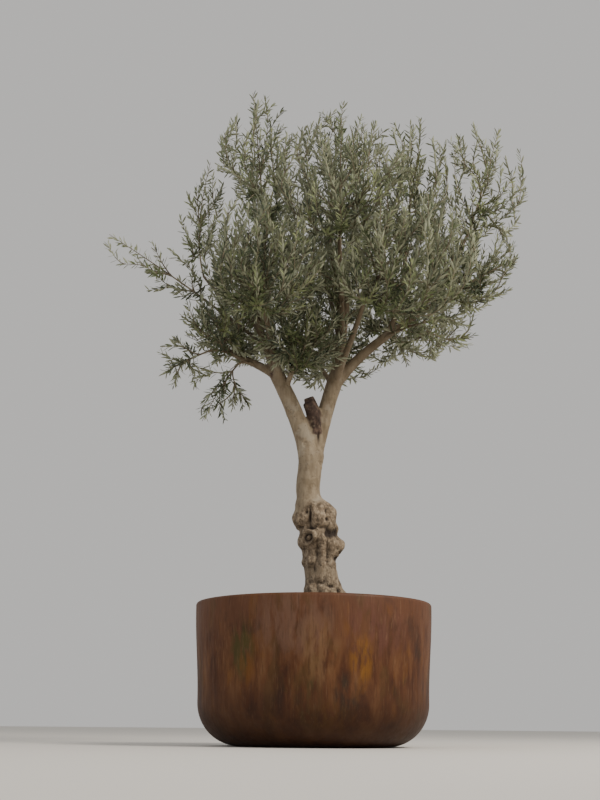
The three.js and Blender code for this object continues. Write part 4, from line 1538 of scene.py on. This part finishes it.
leaf_finishes = [leaf_finish(f"waxy_leaf_top_{i + 1}", tone, 0.5) for i, tone in enumerate(TOP_TONES)]
leaf_finishes.append(leaf_finish("scaly_leaf_underside", UNDER_TONE, 0.75))
print("leaf finishes:", len(leaf_finishes))

# %% Leaf pieces
LEAF_PIECES = {
    "leaves_top": ["top_left", "top_mid", "top_right", "far_right", "left_shoots", "left_arm"],
    "leaves_front": ["top_front", "front_left", "front_right"],
    "leaves_middle": ["mid", "mid_left", "right_side"],
    "leaves_back": ["top_back", "back_left", "back_right", "low_back"],
    "leaves_low": ["low_mid", "low_left", "low_right", "hanging", "drooping"],
}
# How far leaves bend down, as a share of their length, and how much that differs
DROOP = 0.05
DROOP_SPREAD = 0.09
for piece_name, held in LEAF_PIECES.items():
    parts = [masses[name]["leaves"] for name in held]
    roots, ways, ups, lengths, tones = (np.concatenate(values) for values in zip(*parts))
    random = np.random.default_rng(WOOD_SEED + len(roots))
    droops = random.normal(DROOP, DROOP_SPREAD, len(roots))
    corners, faces, under = blades(roots, ways, ups, lengths, droops)
    piece = mesh_piece(piece_name, corners, faces)
    for finish in leaf_finishes:
        piece.data.materials.append(finish)
    top_tones = np.repeat(tones, len(faces) // len(roots))
    piece.data.polygons.foreach_set("material_index", np.where(under, TONES, top_tones).astype(np.int32))
    finish_piece(piece, piece_name, None)
    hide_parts(*(f"foliage_{name}" for name in held))

# %% [markdown]
# ## Floor, light and camera
# A plain pale floor and soft light from a wide sky show the object without colouring it. The camera stands
# low and looks up at the crown, as a person crouching six metres away would.

# %% Floor
FLOOR_RADIUS = 40
FLOOR_HEIGHT = -0.0005

start_piece()
bpy.ops.mesh.primitive_circle_add(
    vertices=96, radius=FLOOR_RADIUS, fill_type="NGON", location=(0, 0, FLOOR_HEIGHT))
floor = bpy.context.object
floor.name = "floor"
pale, tree = new_finish("pale_studio_floor")
set_shader(tree, {"Base Color": colour("d8d4cd"), "Roughness": 0.9})
floor.data.materials.append(pale)

# %% Light
world = bpy.data.worlds.new("soft_sky")
bpy.context.scene.world = world
world.use_nodes = True
sky = world.node_tree.nodes["Background"]
set_inputs(world.node_tree, sky, {"Color": colour("f1efec"), "Strength": 0.66})


def add_lamp(name, place, target, size, power, shade):
    """A wide soft lamp that points at a place."""
    start_piece()
    bpy.ops.object.light_add(type="AREA", location=place)
    lamp = bpy.context.object
    lamp.name = name
    lamp.data.shape = "DISK"
    lamp.data.size = size
    lamp.data.energy = power
    lamp.data.color = colour(shade)[:3]
    lamp.rotation_euler = (Vector(target) - Vector(place)).to_track_quat("-Z", "Y").to_euler()


add_lamp("key_lamp", (5.5, -3.5, 6.5), (0, 0, 1.8), 3.5, 720, "fff7ec")
add_lamp("fill_lamp", (-5.0, -5.0, 3.5), (0, 0, 1.6), 5.0, 60, "eef3ff")

# %% Camera
CAMERA_PLACE = (-0.065, -6.210, 0.098)
CAMERA_PITCH = 15.2
CAMERA_ROLL = -0.5
camera_data = bpy.data.cameras.new("camera")
camera = bpy.data.objects.new("camera", camera_data)
bpy.context.collection.objects.link(camera)
camera.location = CAMERA_PLACE
camera.rotation_euler = (math.radians(90 + CAMERA_PITCH), math.radians(CAMERA_ROLL), 0)
camera_data.lens = 54
camera_data.sensor_width = 36
camera_data.sensor_fit = "AUTO"
bpy.context.scene.camera = camera
